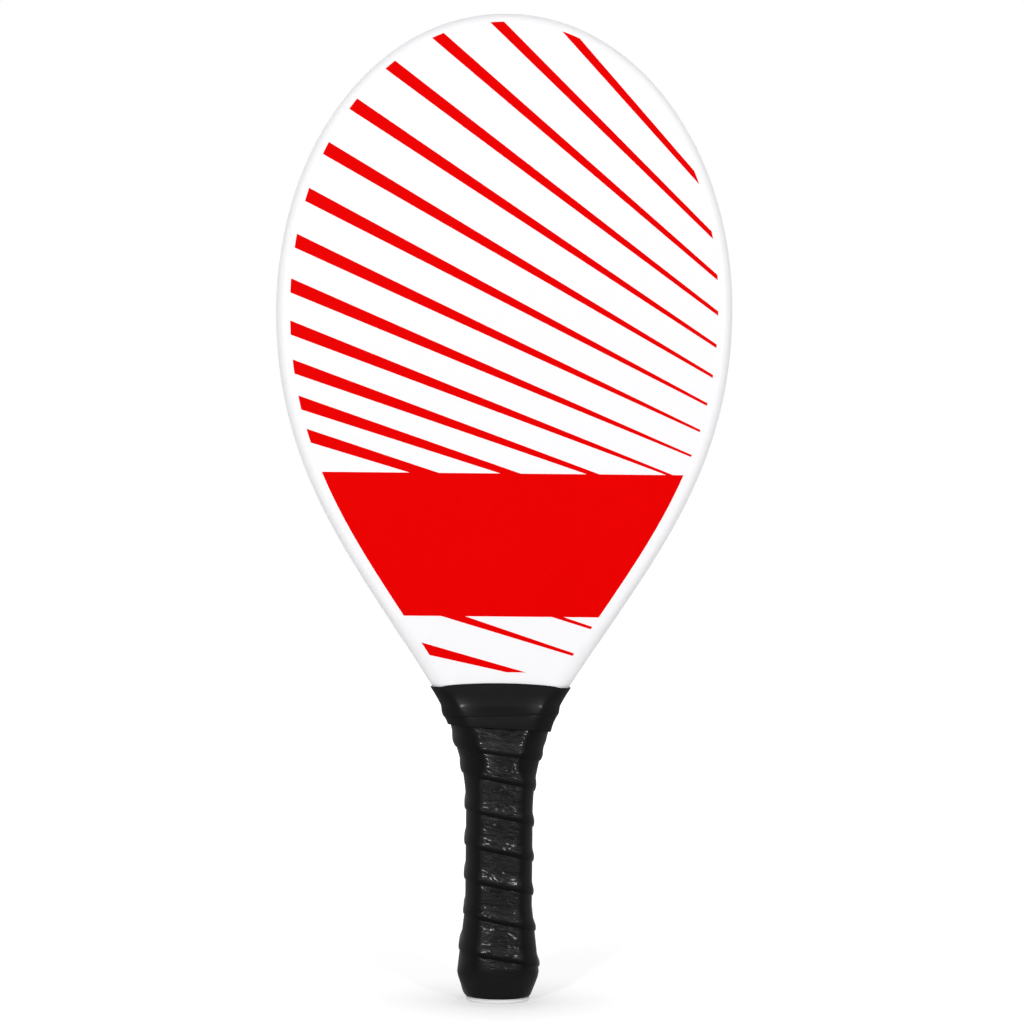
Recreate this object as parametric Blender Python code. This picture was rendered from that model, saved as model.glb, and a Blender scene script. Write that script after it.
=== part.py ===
"""Frescobol paddle: a white teardrop blade on a wound black grip.

Metres, +Z up. The paddle stands on its butt. The origin is the middle of the butt's end face, the
blade rises along +Z, its width runs along X, and its printed front looks to -Y.
"""

import math

import bmesh
import bpy
from mathutils import Vector

# Outline of the bare paddle
BLADE_START = 0.154
BLADE_LENGTH = 0.326
WIDEST_BELOW_TIP = 0.1442
BLADE_HALF_WIDTH = 0.1111
THROAT_HALF_WIDTH = 0.0344
THROAT_SPREAD = 0.64
THROAT_PULL_UP = 0.059
THROAT_PULL_DOWN = 0.017
SIDE_PULL_DOWN = 0.0793
SIDE_PULL_UP = 0.0784
TIP_PULL = 0.064
FLARE_LENGTH = 0.062
FLARE_PULL = 0.028

# Blade layers, from the middle outward
BLADE_THICKNESS = 0.013
SKIN_THICKNESS = 0.0008
RIM_WIDTH = 0.006
RIM_NOSE = 0.005
CLEARANCE = 0.0003

# Handle woodwork
HANDLE_HALF_WIDTH = 0.0133
HANDLE_HALF_DEPTH = 0.012
HANDLE_BEVEL = 0.0052
THROAT_BEVEL = 0.0092
CORNER_CUT = 0.0006
SHOULDER_BELOW_BLADE = 0.004
TONGUE_LENGTH = 0.055
CHEEK_TIP_BELOW_SHOULDER = 0.001
CHEEK_TIP_THICKNESS = 0.0004
CHEEK_RAMP = 0.041

# Butt cap and its staples
CAP_HEIGHT = 0.046
CAP_WALL = 0.0012
CAP_FLOOR = 0.003
REBATE_BEVEL = 0.0005
CAP_FLARE = 0.0037
CAP_EDGE_HEIGHT = 0.0125
CAP_FOOT_FLARE = 0.0012
CAP_ROUND_HEIGHT = 0.024
DISC_HEIGHT = 0.0016
DISC_LIP = 0.0008
DISC_ROUND = 0.0004
STAPLE_WIDTH = 0.010
STAPLE_WIRE = 0.0008
STAPLE_HEIGHT = 0.032

# Cushion sleeve and the two tapes wound over it
WRAP_CLEARANCE = 0.00035
SLEEVE_THICKNESS = 0.0012
SLEEVE_BOTTOM = 0.0115
SLEEVE_BELOW_BLADE = 0.028
SLEEVE_FADE = 0.009
GRIP_TAPE_WIDTH = 0.0252
GRIP_TAPE_THICKNESS = 0.00045
GRIP_TAPE_PITCH = 0.0174
GRIP_TAPE_POINT = 0.002
GRIP_TAPE_BELOW_BLADE = 0.017
TAPE_SELF_GAP = 0.00065
TAPE_STEP_MARGIN = 0.0004
TAPE_STEP_RAMP = 0.003
COLLAR_WIDTH = 0.0172
COLLAR_THICKNESS = 0.00025
COLLAR_CLIMB = 0.0044
COLLAR_TURNS = 1.9
COLLAR_BELOW_BLADE = 0.0002
COLLAR_DROP = 0.0035

# Where round the handle each tape starts, in stations from the back, and where its lap begins
GRIP_TAPE_START = 5
COLLAR_START = 4
LAP_START_TURNS = 0.85
LAP_RAMP_TURNS = 0.1

# Print on the faces: a fan of tapered stripes behind a plain panel
PRINT_THICKNESS = 0.0002
PRINT_SIDE_MARGIN = 0.0073
PRINT_TOP_MARGIN = 0.0048
PRINT_ABOVE_BLADE_START = 0.0057
PANEL_ABOVE_BLADE_START = 0.0327
PANEL_HEIGHT = 0.0694
STRIPE_LEAST_WIDTH = 0.0004

# Stripes of each fan, in shares of their field's height: at a station on the left and one on the
# right, a first value and a step down that changes by a ratio from stripe to stripe
FAN_STATION = 0.72
UPPER_FAN = {
    "count": 13,
    "left": (1.5103, 0.20072, 0.902),
    "right": (0.7106, 0.09875, 0.942),
    "left_width": (0.04383, 0.00268, 0.94),
    "right_width": (0.01699, 0.00201, 0.882),
}
LOWER_FAN = {
    "count": 3,
    "left": (2.2584, 0.5993, 1.43),
    "right": (0.3858, 0.5768, 0.80),
    "left_width": (0.1573, -0.0562, 1.4),
    "right_width": (0.0225, 0.0300, 2.6),
}

# The two faces, with the sign of Y that each looks to
SIDES = (("front", -1), ("back", 1))

# Counts of steps along the curves, and of the stations in the handle's octagon
FLARE_STEPS = 14
LOWER_EDGE_STEPS = 18
UPPER_EDGE_STEPS = 20
NOSE_STEPS = 8
TONGUE_STEPS = 12
CHEEK_STEPS = 10
SLEEVE_STEPS = 8
GAP_STEPS = 8
TURN_STATIONS = 24

# How near two points are one, and how sharp an edge stays hard
WELD_DISTANCE = 1e-6
HARD_ANGLE = math.radians(35)

# Heights and half thicknesses that follow from the sizes above
TIP = BLADE_START + BLADE_LENGTH
WIDEST = TIP - WIDEST_BELOW_TIP
FLARE_START = BLADE_START - FLARE_LENGTH
SHOULDER = BLADE_START - SHOULDER_BELOW_BLADE
BLADE_HALF = BLADE_THICKNESS / 2
CORE_HALF = BLADE_HALF - SKIN_THICKNESS - CLEARANCE
CHEEK_BASE = BLADE_HALF + CLEARANCE
CHEEK_TOP = SHOULDER - CHEEK_TIP_BELOW_SHOULDER
CHEEK_FOOT = min(FLARE_START, CHEEK_TOP - CHEEK_RAMP)
THROAT_HALF_DEPTH = CHEEK_BASE + CHEEK_TIP_THICKNESS
CAP_MIDDLE_HEIGHT = (CAP_EDGE_HEIGHT + CAP_ROUND_HEIGHT) / 2
CAP_REBATE = CAP_WALL + CLEARANCE
WOOD_BOTTOM = CAP_FLOOR + CLEARANCE
WOOD_STEP = CAP_HEIGHT + CLEARANCE
SLEEVE_TOP = BLADE_START - SLEEVE_BELOW_BLADE
GRIP_TAPE_BOTTOM = DISC_HEIGHT + CLEARANCE
GRIP_TAPE_TOP = BLADE_START - GRIP_TAPE_BELOW_BLADE
COLLAR_TOP = BLADE_START - COLLAR_BELOW_BLADE
PRINT_BOTTOM = BLADE_START + PRINT_ABOVE_BLADE_START
PANEL_BOTTOM = BLADE_START + PANEL_ABOVE_BLADE_START
PANEL_TOP = PANEL_BOTTOM + PANEL_HEIGHT
PRINT_HALF_Y = BLADE_HALF + CLEARANCE + PRINT_THICKNESS / 2


# Scene, collections and materials


def clear_scene():
    """Remove every object, so that the script can be run again."""
    for item in list(bpy.data.objects):
        bpy.data.objects.remove(item, do_unlink=True)


def make_collection(name):
    """Return the collection of this name, linked to the scene."""
    found = bpy.data.collections.get(name)
    if found is None:
        found = bpy.data.collections.new(name)
        bpy.context.scene.collection.children.link(found)
    return found


def make_material(name, colour, roughness, metallic=0.0):
    """Return a plain Principled material."""
    material = bpy.data.materials.new(name)
    material.use_nodes = True
    shader = material.node_tree.nodes["Principled BSDF"]
    shader.inputs["Base Color"].default_value = (*colour, 1.0)
    shader.inputs["Roughness"].default_value = roughness
    shader.inputs["Metallic"].default_value = metallic
    material.diffuse_color = (*colour, 1.0)
    return material


def place(name, data, collection, material=None):
    """Link a new object of this data to a collection, under the paddle's root."""
    item = bpy.data.objects.new(name, data)
    collection.objects.link(item)
    if material is not None:
        data.materials.append(material)
        item.parent = ROOT
    return item


def as_mesh(item):
    """Replace a curve object by the closed mesh that it draws."""
    bpy.context.view_layer.update()
    graph = bpy.context.evaluated_depsgraph_get()
    mesh = bpy.data.meshes.new_from_object(item.evaluated_get(graph))
    name = item.name
    collection = item.users_collection[0]
    matrix = item.matrix_world.copy()
    bpy.data.objects.remove(item, do_unlink=True)
    form = bmesh.new()
    form.from_mesh(mesh)
    bmesh.ops.remove_doubles(form, verts=form.verts, dist=WELD_DISTANCE)
    bmesh.ops.recalc_face_normals(form, faces=form.faces)
    form.to_mesh(mesh)
    form.free()
    solid = bpy.data.objects.new(name, mesh)
    collection.objects.link(solid)
    solid.matrix_world = matrix
    return solid


def as_cutter(item):
    """Mark an object as a cutter, kept out of renders."""
    item.hide_render = True
    item.display_type = "WIRE"
    return item


def cut(item, cutter, operation="DIFFERENCE"):
    """Cut an object by another with the exact solver."""
    modifier = item.modifiers.new(operation.title(), "BOOLEAN")
    modifier.operation = operation
    modifier.solver = "EXACT"
    modifier.object = cutter


def box(name, low, high):
    """A box cutter between two corners."""
    mesh = bpy.data.meshes.new(name)
    form = bmesh.new()
    bmesh.ops.create_cube(form, size=1.0)
    size = Vector(high) - Vector(low)
    middle = (Vector(high) + Vector(low)) / 2
    bmesh.ops.scale(form, vec=size, verts=form.verts)
    bmesh.ops.translate(form, vec=middle, verts=form.verts)
    form.to_mesh(mesh)
    form.free()
    return as_cutter(place(name, mesh, CUTTERS))


def flat_curve(name, outline, thickness, cyclic=True):
    """A 2D curve through the points of an outline, filled and extruded when it is closed."""
    curve = bpy.data.curves.new(name, "CURVE")
    curve.dimensions = "2D"
    curve.fill_mode = "BOTH" if thickness else "NONE"
    curve.extrude = thickness / 2
    spline = curve.splines.new("POLY")
    spline.points.add(len(outline) - 1)
    for point, (x, y) in zip(spline.points, outline):
        point.co = (x, y, 0.0, 1.0)
    spline.use_cyclic_u = cyclic
    return curve


def upright_plate(name, outline, thickness, middle_y, collection, material=None):
    """A flat plate that stands in the XZ plane: outline points are (x, z)."""
    item = place(name, flat_curve(name, outline, thickness), collection, material)
    item.rotation_euler = (math.pi / 2, 0.0, 0.0)
    item.location = (0.0, middle_y, 0.0)
    return item


def loft(name, sections, closed, material):
    """Skin a run of like-numbered closed sections, joined end to end or capped."""
    mesh = bpy.data.meshes.new(name)
    form = bmesh.new()
    rows = [[form.verts.new(point) for point in section] for section in sections]
    pairs = list(zip(rows, rows[1:]))
    if closed:
        pairs.append((rows[-1], rows[0]))
    else:
        form.faces.new(rows[0])
        form.faces.new(rows[-1])
    for lower, upper in pairs:
        for index in range(len(lower)):
            after = (index + 1) % len(lower)
            form.faces.new((lower[index], lower[after], upper[after], upper[index]))
    bmesh.ops.recalc_face_normals(form, faces=form.faces)
    form.to_mesh(mesh)
    form.free()
    mesh.shade_smooth()
    mesh.set_sharp_from_angle(angle=HARD_ANGLE)
    return place(name, mesh, PADDLE, material)


# Outline of the bare paddle, as points (x, z) of its right-hand edge


def cubic(start, pull, push, end, steps):
    """Points along one cubic curve, both ends included."""
    points = []
    for step in range(steps + 1):
        t = step / steps
        s = 1 - t
        point = (
            Vector(start) * s**3
            + Vector(pull) * 3 * s * s * t
            + Vector(push) * 3 * s * t * t
            + Vector(end) * t**3
        )
        points.append(point)
    return points


def edge_points():
    """Right-hand edge from the foot of the throat's flare to the tip."""
    throat = (THROAT_HALF_WIDTH, BLADE_START)
    side = (BLADE_HALF_WIDTH, WIDEST)
    flare = cubic(
        (HANDLE_HALF_WIDTH, FLARE_START),
        (HANDLE_HALF_WIDTH, FLARE_START + FLARE_PULL),
        (THROAT_HALF_WIDTH - THROAT_SPREAD * THROAT_PULL_DOWN, BLADE_START - THROAT_PULL_DOWN),
        throat,
        FLARE_STEPS,
    )
    lower = cubic(
        throat,
        (THROAT_HALF_WIDTH + THROAT_SPREAD * THROAT_PULL_UP, BLADE_START + THROAT_PULL_UP),
        (BLADE_HALF_WIDTH, WIDEST - SIDE_PULL_DOWN),
        side,
        LOWER_EDGE_STEPS,
    )
    upper = cubic(
        side,
        (BLADE_HALF_WIDTH, WIDEST + SIDE_PULL_UP),
        (TIP_PULL, TIP),
        (0.0, TIP),
        UPPER_EDGE_STEPS,
    )
    return flare[:-1] + lower[:-1] + upper


def at_height(points, height):
    """X of a run of rising points (x, z) at one height."""
    for low, high in zip(points, points[1:]):
        if low.y <= height <= high.y:
            share = (height - low.y) / (high.y - low.y)
            return low.x + (high.x - low.x) * share
    return points[0].x if height < points[0].y else points[-1].x


def half_width(height):
    """Half width of the bare paddle at a height."""
    return at_height(EDGE, height)


def inset_edge(inset):
    """The right-hand edge moved inward by inset(normal), from the flare's foot to the tip."""
    moved = []
    last = len(EDGE) - 1
    for index, point in enumerate(EDGE):
        before = EDGE[max(index - 1, 0)]
        after = EDGE[index + 1] if index < last else Vector((-before.x, before.y))
        along = (after - before).normalized()
        normal = Vector((along.y, -along.x))
        moved.append(point - normal * inset(normal))
    return moved


def between(points, low, high):
    """The stretch of a rising run of points between two heights."""
    inside = [point for point in points if low < point.y < high]
    first = Vector((at_height(points, low), low))
    if high >= points[-1].y:
        return [first, *inside, points[-1]]
    return [first, *inside, Vector((at_height(points, high), high))]


def mirrored(points):
    """Right-hand points, then their mirror images in falling order."""
    left = [Vector((-point.x, point.y)) for point in reversed(points) if point.x > 0.0]
    return [*points, *left]


def blade_edge(inset, low):
    """Right-hand edge of the blade above a height, inset evenly."""
    return between(inset_edge(lambda normal: inset), low, TIP)


# Section of the handle: an octagon that flattens into the blade at the throat


def ease(share):
    """Smooth step between 0 and 1."""
    share = min(max(share, 0.0), 1.0)
    return share * share * (3 - 2 * share)


def half_depth(height):
    """Half depth of the handle's woodwork, ramped down to the blade at the throat."""
    share = ease((CHEEK_TOP - height) / CHEEK_RAMP)
    return THROAT_HALF_DEPTH + (HANDLE_HALF_DEPTH - THROAT_HALF_DEPTH) * share


def bevel_width(height):
    """How far the handle's bevel reaches in along X."""
    share = ease((CHEEK_TOP - height) / CHEEK_RAMP)
    return THROAT_BEVEL + (HANDLE_BEVEL - THROAT_BEVEL) * share


def cap_flare(height):
    """How far the butt cap stands out past the woodwork."""
    if height >= CAP_EDGE_HEIGHT:
        return CAP_FLARE * max(CAP_HEIGHT - height, 0.0) / (CAP_HEIGHT - CAP_EDGE_HEIGHT)
    share = (height - DISC_HEIGHT) / (CAP_EDGE_HEIGHT - DISC_HEIGHT)
    return CAP_FOOT_FLARE + (CAP_FLARE - CAP_FOOT_FLARE) * max(share, 0.0)


def octagon(half_x, half_y, bevel_x, bevel_y, offset):
    """First quarter of an octagon pushed out by an offset: from +Y round to +X."""
    length = math.hypot(bevel_x, bevel_y)
    normal = Vector((bevel_y, bevel_x)) / length
    reach = normal.x * half_x + normal.y * (half_y - bevel_y) + offset
    wide = half_x + offset
    deep = half_y + offset
    upper = Vector(((reach - normal.y * deep) / normal.x, deep))
    lower = Vector((wide, (reach - normal.x * wide) / normal.y))
    along = (lower - upper).normalized()
    return [
        Vector((0.0, deep)),
        upper - Vector((CORNER_CUT, 0.0)),
        upper + along * CORNER_CUT,
        (upper + lower) / 2,
        lower - along * CORNER_CUT,
        lower - Vector((0.0, CORNER_CUT)),
        Vector((wide, 0.0)),
    ]


def full_turn(quarter):
    """All round from a quarter that runs from +Y to +X: clockwise seen from above."""
    front = [Vector((point.x, -point.y)) for point in reversed(quarter[:-1])]
    half = [*quarter, *front]
    other = [Vector((-point.x, point.y)) for point in reversed(half[1:-1])]
    return [*half, *other]


def handle_quarter(height, offset):
    """A quarter of the woodwork's section at a height, pushed out by an offset."""
    deep = half_depth(height)
    return octagon(half_width(height), deep, bevel_width(height), deep - CHEEK_BASE, offset)


def handle_ring(height, offset):
    """The woodwork's whole section at a height, pushed out by an offset."""
    ring = full_turn(handle_quarter(height, offset))
    return [Vector((point.x, point.y, height)) for point in ring]


def body_ring(height, offset):
    """The section of woodwork and butt cap together, rounder toward the butt."""
    flare = cap_flare(height)
    square = handle_ring(height, flare + offset)
    wide = half_width(height) + flare + offset
    deep = half_depth(height) + flare + offset
    share = (CAP_ROUND_HEIGHT - height) / (CAP_ROUND_HEIGHT - DISC_HEIGHT)
    share = min(max(share, 0.0), 1.0)
    ring = []
    for point in square:
        angle = math.atan2(point.y / deep, point.x / wide)
        round_point = Vector((wide * math.cos(angle), deep * math.sin(angle), height))
        ring.append(point.lerp(round_point, share))
    return ring


# Blade: core, rim and skins


def tongue_outline(margin):
    """Right-hand side of the handle's tongue inside the core, with a round end."""
    radius = HANDLE_HALF_WIDTH + margin
    centre = SHOULDER + TONGUE_LENGTH - HANDLE_HALF_WIDTH
    points = []
    for step in range(TONGUE_STEPS + 1):
        angle = math.pi / 2 * step / TONGUE_STEPS
        points.append(Vector((radius * math.cos(angle), centre + radius * math.sin(angle))))
    points[-1].x = 0.0
    return points


def build_core():
    """Foam board inside the rim, slotted from below for the handle's tongue."""
    base = SHOULDER + CLEARANCE
    edge = blade_edge(RIM_WIDTH + CLEARANCE, base)
    slot = tongue_outline(CLEARANCE)
    slot.insert(0, Vector((slot[0].x, base)))
    outline = [*mirrored(edge), *reversed(mirrored(slot))]
    upright_plate("foam_core", outline, CORE_HALF * 2, 0.0, PADDLE, FOAM)


def build_rim():
    """Edge band with a rounded nose, swept round the blade and cut level at the shoulders."""
    nose = []
    for step in range(NOSE_STEPS + 1):
        angle = math.pi * (step / NOSE_STEPS - 0.5)
        nose.append((RIM_NOSE * (math.cos(angle) - 1), BLADE_HALF * math.sin(angle)))
    section = [*nose, (-RIM_WIDTH, BLADE_HALF), (-RIM_WIDTH, -BLADE_HALF)]
    profile = as_cutter(place("rim_section", flat_curve("rim_section", section, 0.0), CUTTERS))
    run_below = 2 * RIM_WIDTH
    path = mirrored(blade_edge(0.0, SHOULDER - run_below))
    curve = flat_curve("rim_band", path, 0.0, cyclic=False)
    curve.bevel_mode = "OBJECT"
    curve.bevel_object = profile
    curve.use_fill_caps = True
    sweep = place("rim_band", curve, PADDLE)
    sweep.rotation_euler = (math.pi / 2, 0.0, 0.0)
    rim = as_mesh(sweep)
    rim.parent = ROOT
    rim.data.materials.append(PAINT)
    rim.data.shade_smooth()
    rim.data.set_sharp_from_angle(angle=HARD_ANGLE)
    reach = THROAT_HALF_WIDTH + RIM_WIDTH
    low = (-reach, -BLADE_THICKNESS, SHOULDER - run_below - reach)
    high = (reach, BLADE_THICKNESS, SHOULDER + CLEARANCE)
    cut(rim, box("rim_end_cut", low, high))


def handle_side():
    """Right-hand points of the handle: rebated for the cap, then flared up to the shoulder."""
    narrow = HANDLE_HALF_WIDTH - CAP_REBATE - CLEARANCE
    return [
        Vector((narrow, WOOD_BOTTOM)),
        Vector((narrow, WOOD_STEP)),
        Vector((HANDLE_HALF_WIDTH, WOOD_STEP)),
        *between(EDGE, FLARE_START, SHOULDER),
    ]


def build_skins():
    """Laminates over blade and handle alike, let in between the rim's two ends."""
    right = [*handle_side(), *blade_edge(RIM_WIDTH + CLEARANCE, SHOULDER)]
    middle = BLADE_HALF - SKIN_THICKNESS / 2
    for name, side in SIDES:
        upright_plate(f"{name}_skin", mirrored(right), SKIN_THICKNESS, side * middle, PADDLE, PAINT)


# Handle woodwork


def build_spine():
    """Board from the butt to a tongue in the core, with shoulders under the rim's ends."""
    right = [*handle_side(), Vector((HANDLE_HALF_WIDTH, SHOULDER)), *tongue_outline(0.0)]
    upright_plate("handle_spine", mirrored(right), CORE_HALF * 2, 0.0, PADDLE, WOOD)


def cheek_section(height, offset, side):
    """One cheek's section: the part of the handle's octagon outside the skin."""
    quarter = handle_quarter(height, offset)
    right = quarter[:4]
    for inner, outer in zip(quarter[3:], quarter[4:]):
        if outer.y <= CHEEK_BASE:
            right.append(inner.lerp(outer, (inner.y - CHEEK_BASE) / (inner.y - outer.y)))
            break
    left = [Vector((-point.x, point.y)) for point in reversed(right[1:])]
    return [Vector((point.x, side * point.y, height)) for point in [*left, *right]]


def build_cheeks():
    """Bevelled scales on both sides of the handle, ramped out at the throat."""
    levels = [(WOOD_BOTTOM, -CAP_REBATE), (WOOD_STEP, -CAP_REBATE), (WOOD_STEP + REBATE_BEVEL, 0.0)]
    for step in range(CHEEK_STEPS + 1):
        levels.append((CHEEK_FOOT + (CHEEK_TOP - CHEEK_FOOT) * step / CHEEK_STEPS, 0.0))
    for name, side in SIDES:
        sections = [cheek_section(height, offset, side) for height, offset in levels]
        cheek = loft(f"{name}_cheek", sections, False, WOOD)
        cut(cheek, SLOTS[name])


# Butt cap and staples


def staple(name, side, grow, collection, material=None):
    """One staple, or its slot when grown: crown in the cap's wall, legs into the cheek."""
    crown = HANDLE_HALF_DEPTH + cap_flare(STAPLE_HEIGHT + STAPLE_WIRE) - CLEARANCE
    half = STAPLE_WIDTH / 2
    tip = CHEEK_BASE + 2 * CLEARANCE
    right = [(half + grow, crown + grow), (half + grow, tip - grow)]
    right.append((half - STAPLE_WIRE - grow, tip - grow))
    right.append((half - STAPLE_WIRE - grow, crown - STAPLE_WIRE - grow))
    left = [(-x, y) for x, y in reversed(right)]
    outline = [(x, side * y) for x, y in [*right, *left]]
    curve = flat_curve(name, outline, STAPLE_WIRE + 2 * grow)
    item = place(name, curve, collection, material)
    item.location = (0.0, 0.0, STAPLE_HEIGHT)
    return item


def build_staples():
    """A staple through the cap's wall on each side."""
    for name, side in SIDES:
        staple(f"{name}_cap_staple", side, 0.0, PADDLE, STEEL)


def build_cap():
    """Moulded cup over the handle's end: flared skirt, bevelled butt and a proud end disc."""
    rings = [
        [Vector((p.x, p.y, 0.0)) for p in body_ring(DISC_HEIGHT, DISC_LIP - DISC_ROUND)],
        [Vector((p.x, p.y, DISC_ROUND)) for p in body_ring(DISC_HEIGHT, DISC_LIP)],
        body_ring(DISC_HEIGHT, DISC_LIP),
        body_ring(DISC_HEIGHT, 0.0),
        body_ring((DISC_HEIGHT + CAP_EDGE_HEIGHT) / 2, 0.0),
        body_ring(CAP_EDGE_HEIGHT, 0.0),
        body_ring(CAP_MIDDLE_HEIGHT, 0.0),
        body_ring(CAP_ROUND_HEIGHT, 0.0),
        body_ring(CAP_HEIGHT, 0.0),
        handle_ring(CAP_HEIGHT, -CAP_WALL),
        handle_ring(CAP_FLOOR, -CAP_WALL),
    ]
    cap = loft("butt_cap", rings, False, CAP_PLASTIC)
    for slot in SLOTS.values():
        cut(cap, slot)


# Cushion sleeve and wound tapes


def sleeve_share(height):
    """1 over the sleeve, fading to 0 past its two ends."""
    above = (height - SLEEVE_TOP - WRAP_CLEARANCE) / SLEEVE_FADE
    below = (SLEEVE_BOTTOM - height) / (SLEEVE_BOTTOM - DISC_HEIGHT)
    return 1.0 - min(max(above, below, 0.0), 1.0)


def grip_base(height):
    """Offset of the overgrip's inner face from woodwork and cap."""
    over_sleeve = SLEEVE_THICKNESS + WRAP_CLEARANCE
    return WRAP_CLEARANCE + over_sleeve * sleeve_share(height)


def collar_base(height):
    """Offset of the finishing tape's inner face: over the overgrip's end, then down to the wood."""
    over_grip = 2 * GRIP_TAPE_THICKNESS + TAPE_SELF_GAP + WRAP_CLEARANCE
    share = (GRIP_TAPE_TOP + TAPE_STEP_MARGIN + COLLAR_DROP - height) / COLLAR_DROP
    return grip_base(height) + over_grip * min(max(share, 0.0), 1.0)


def build_sleeve():
    """Thin cushion round the cap's skirt and the handle, under the overgrip."""
    levels = [SLEEVE_BOTTOM, CAP_EDGE_HEIGHT, CAP_MIDDLE_HEIGHT, CAP_ROUND_HEIGHT, CAP_HEIGHT]
    for step in range(SLEEVE_STEPS + 1):
        levels.append(CHEEK_FOOT + (SLEEVE_TOP - CHEEK_FOOT) * step / SLEEVE_STEPS)
    outer = [body_ring(level, WRAP_CLEARANCE + SLEEVE_THICKNESS) for level in levels]
    inner = [body_ring(level, WRAP_CLEARANCE) for level in reversed(levels)]
    loft("cushion_sleeve", [*outer, *inner], True, CUSHION)


def arc_shares():
    """Share of a turn at each station of the ring, by length round the plain handle."""
    ring = handle_ring(CAP_HEIGHT, WRAP_CLEARANCE + SLEEVE_THICKNESS)
    lengths = [0.0]
    for here, after in zip(ring, [*ring[1:], ring[0]]):
        lengths.append(lengths[-1] + (after - here).length)
    return [length / lengths[-1] for length in lengths[:-1]]


def levels_between(low, high, marks):
    """Two edges and the marks between them, kept in order with a least step."""
    step = (high - low) / (3 * (len(marks) + 1))
    step = min(step, TAPE_STEP_MARGIN)
    levels = [low]
    for index, mark in enumerate(sorted(marks)):
        top = high - step * (len(marks) - index)
        levels.append(min(max(mark, levels[-1] + step), top))
    levels.append(high)
    return levels


def wind(name, tape, material):
    """One unbroken strip wound left-handed up the handle, each turn lapped over the last.

    tape gives its width, thickness, start station, lower edge by turns, limits in height, base
    offset by height, marked heights, and its length in turns or the width that it tapers to.
    """
    shares = arc_shares()
    lift_by = tape["thickness"] + TAPE_SELF_GAP
    start_share = shares[tape["start"]]
    sections = []
    faces = []
    station = 0
    while True:
        place_in_ring = (tape["start"] + station) % TURN_STATIONS
        rounds = (tape["start"] + station) // TURN_STATIONS
        turns = rounds + shares[place_in_ring] - start_share
        edge = tape["edge"](turns)
        low = max(edge, tape["low"])
        high = min(edge + tape["width"], tape["high"])
        if turns > tape["turns"] or high - low < tape["point"] and turns > 1.0:
            break
        below = tape["edge"](turns - 1.0) + tape["width"] + TAPE_STEP_MARGIN
        lift = min(max((turns - LAP_START_TURNS) / LAP_RAMP_TURNS, 0.0), 1.0) * lift_by
        levels = levels_between(low, high, [below, below + TAPE_STEP_RAMP, *tape["marks"](low, high)])
        inner = []
        outer = []
        for level in levels:
            share = min(max(1.0 - (level - below) / TAPE_STEP_RAMP, 0.0), 1.0)
            offset = tape["base"](level) + lift * share
            inner.append(body_ring(level, offset)[place_in_ring])
            outer.append(body_ring(level, offset + tape["thickness"])[place_in_ring])
        sections.append([*outer, *reversed(inner)])
        faces.append((inner, outer))
        station += 1
    print_least_gap(name, faces)
    loft(name, sections, False, material)


def along(points, steps):
    """Points spaced along a run, steps to each stretch."""
    found = []
    for here, after in zip(points, points[1:]):
        found.extend(here.lerp(after, step / steps) for step in range(steps))
    return [*found, points[-1]]


def print_least_gap(name, faces):
    """Print the least gap between each turn's inner face and the turn under it."""
    least = math.inf
    for index in range(TURN_STATIONS, len(faces)):
        over = along(faces[index][0], GAP_STEPS)
        under = along(faces[index - TURN_STATIONS][1], GAP_STEPS)
        nearest = min((a - b).length for a in over for b in under)
        least = min(least, nearest)
    print(f"{name}: least gap to itself {least * 1000:.2f} mm over {len(faces)} stations")


def build_grip_tape():
    """Overgrip wound up from the butt, its lower end flush with the butt cap's disc."""
    first_edge = GRIP_TAPE_BOTTOM + GRIP_TAPE_POINT - GRIP_TAPE_WIDTH
    tape = {
        "width": GRIP_TAPE_WIDTH,
        "thickness": GRIP_TAPE_THICKNESS,
        "start": GRIP_TAPE_START,
        "edge": lambda turns: first_edge + GRIP_TAPE_PITCH * turns,
        "low": GRIP_TAPE_BOTTOM,
        "high": GRIP_TAPE_TOP,
        "base": grip_base,
        "marks": lambda low, high: [
            CAP_EDGE_HEIGHT if low < CAP_EDGE_HEIGHT else SLEEVE_TOP + WRAP_CLEARANCE,
            high - GRIP_TAPE_PITCH / 3,
        ],
        "turns": math.inf,
        "point": GRIP_TAPE_POINT,
    }
    wind("overgrip_tape", tape, GRIP)


def build_collar():
    """Smooth finishing tape over the overgrip's upper end."""
    last_edge = COLLAR_TOP - COLLAR_WIDTH
    drop_start = GRIP_TAPE_TOP + TAPE_STEP_MARGIN
    tape = {
        "width": COLLAR_WIDTH,
        "thickness": COLLAR_THICKNESS,
        "start": COLLAR_START,
        "edge": lambda turns: last_edge + COLLAR_CLIMB * min(turns - 1.0, 0.0),
        "low": 0.0,
        "high": COLLAR_TOP,
        "base": collar_base,
        "marks": lambda low, high: [drop_start, drop_start + COLLAR_DROP],
        "turns": COLLAR_TURNS,
        "point": 0.0,
    }
    wind("finishing_tape", tape, COLLAR)


# Print


def march(rule, index):
    """First value less steps that change by a steady ratio."""
    first, step, ratio = rule
    return first - step * (1 - ratio**index) / (1 - ratio)


def clipped(points, anchor, along):
    """The part of an outline to the left of a line through anchor."""
    kept = []
    for here, after in zip(points, points[1:] + points[:1]):
        here_side = along.cross(here - anchor)
        after_side = along.cross(after - anchor)
        if here_side >= 0.0:
            kept.append(here)
        if (here_side < 0.0) != (after_side < 0.0):
            kept.append(here.lerp(after, here_side / (here_side - after_side)))
    return kept


def print_edge(low, high):
    """Right-hand edge of the printed field between two heights."""
    spread = PRINT_TOP_MARGIN - PRINT_SIDE_MARGIN
    edge = inset_edge(lambda normal: PRINT_SIDE_MARGIN + spread * max(normal.y, 0.0))
    return between(edge, low, high)


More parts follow.
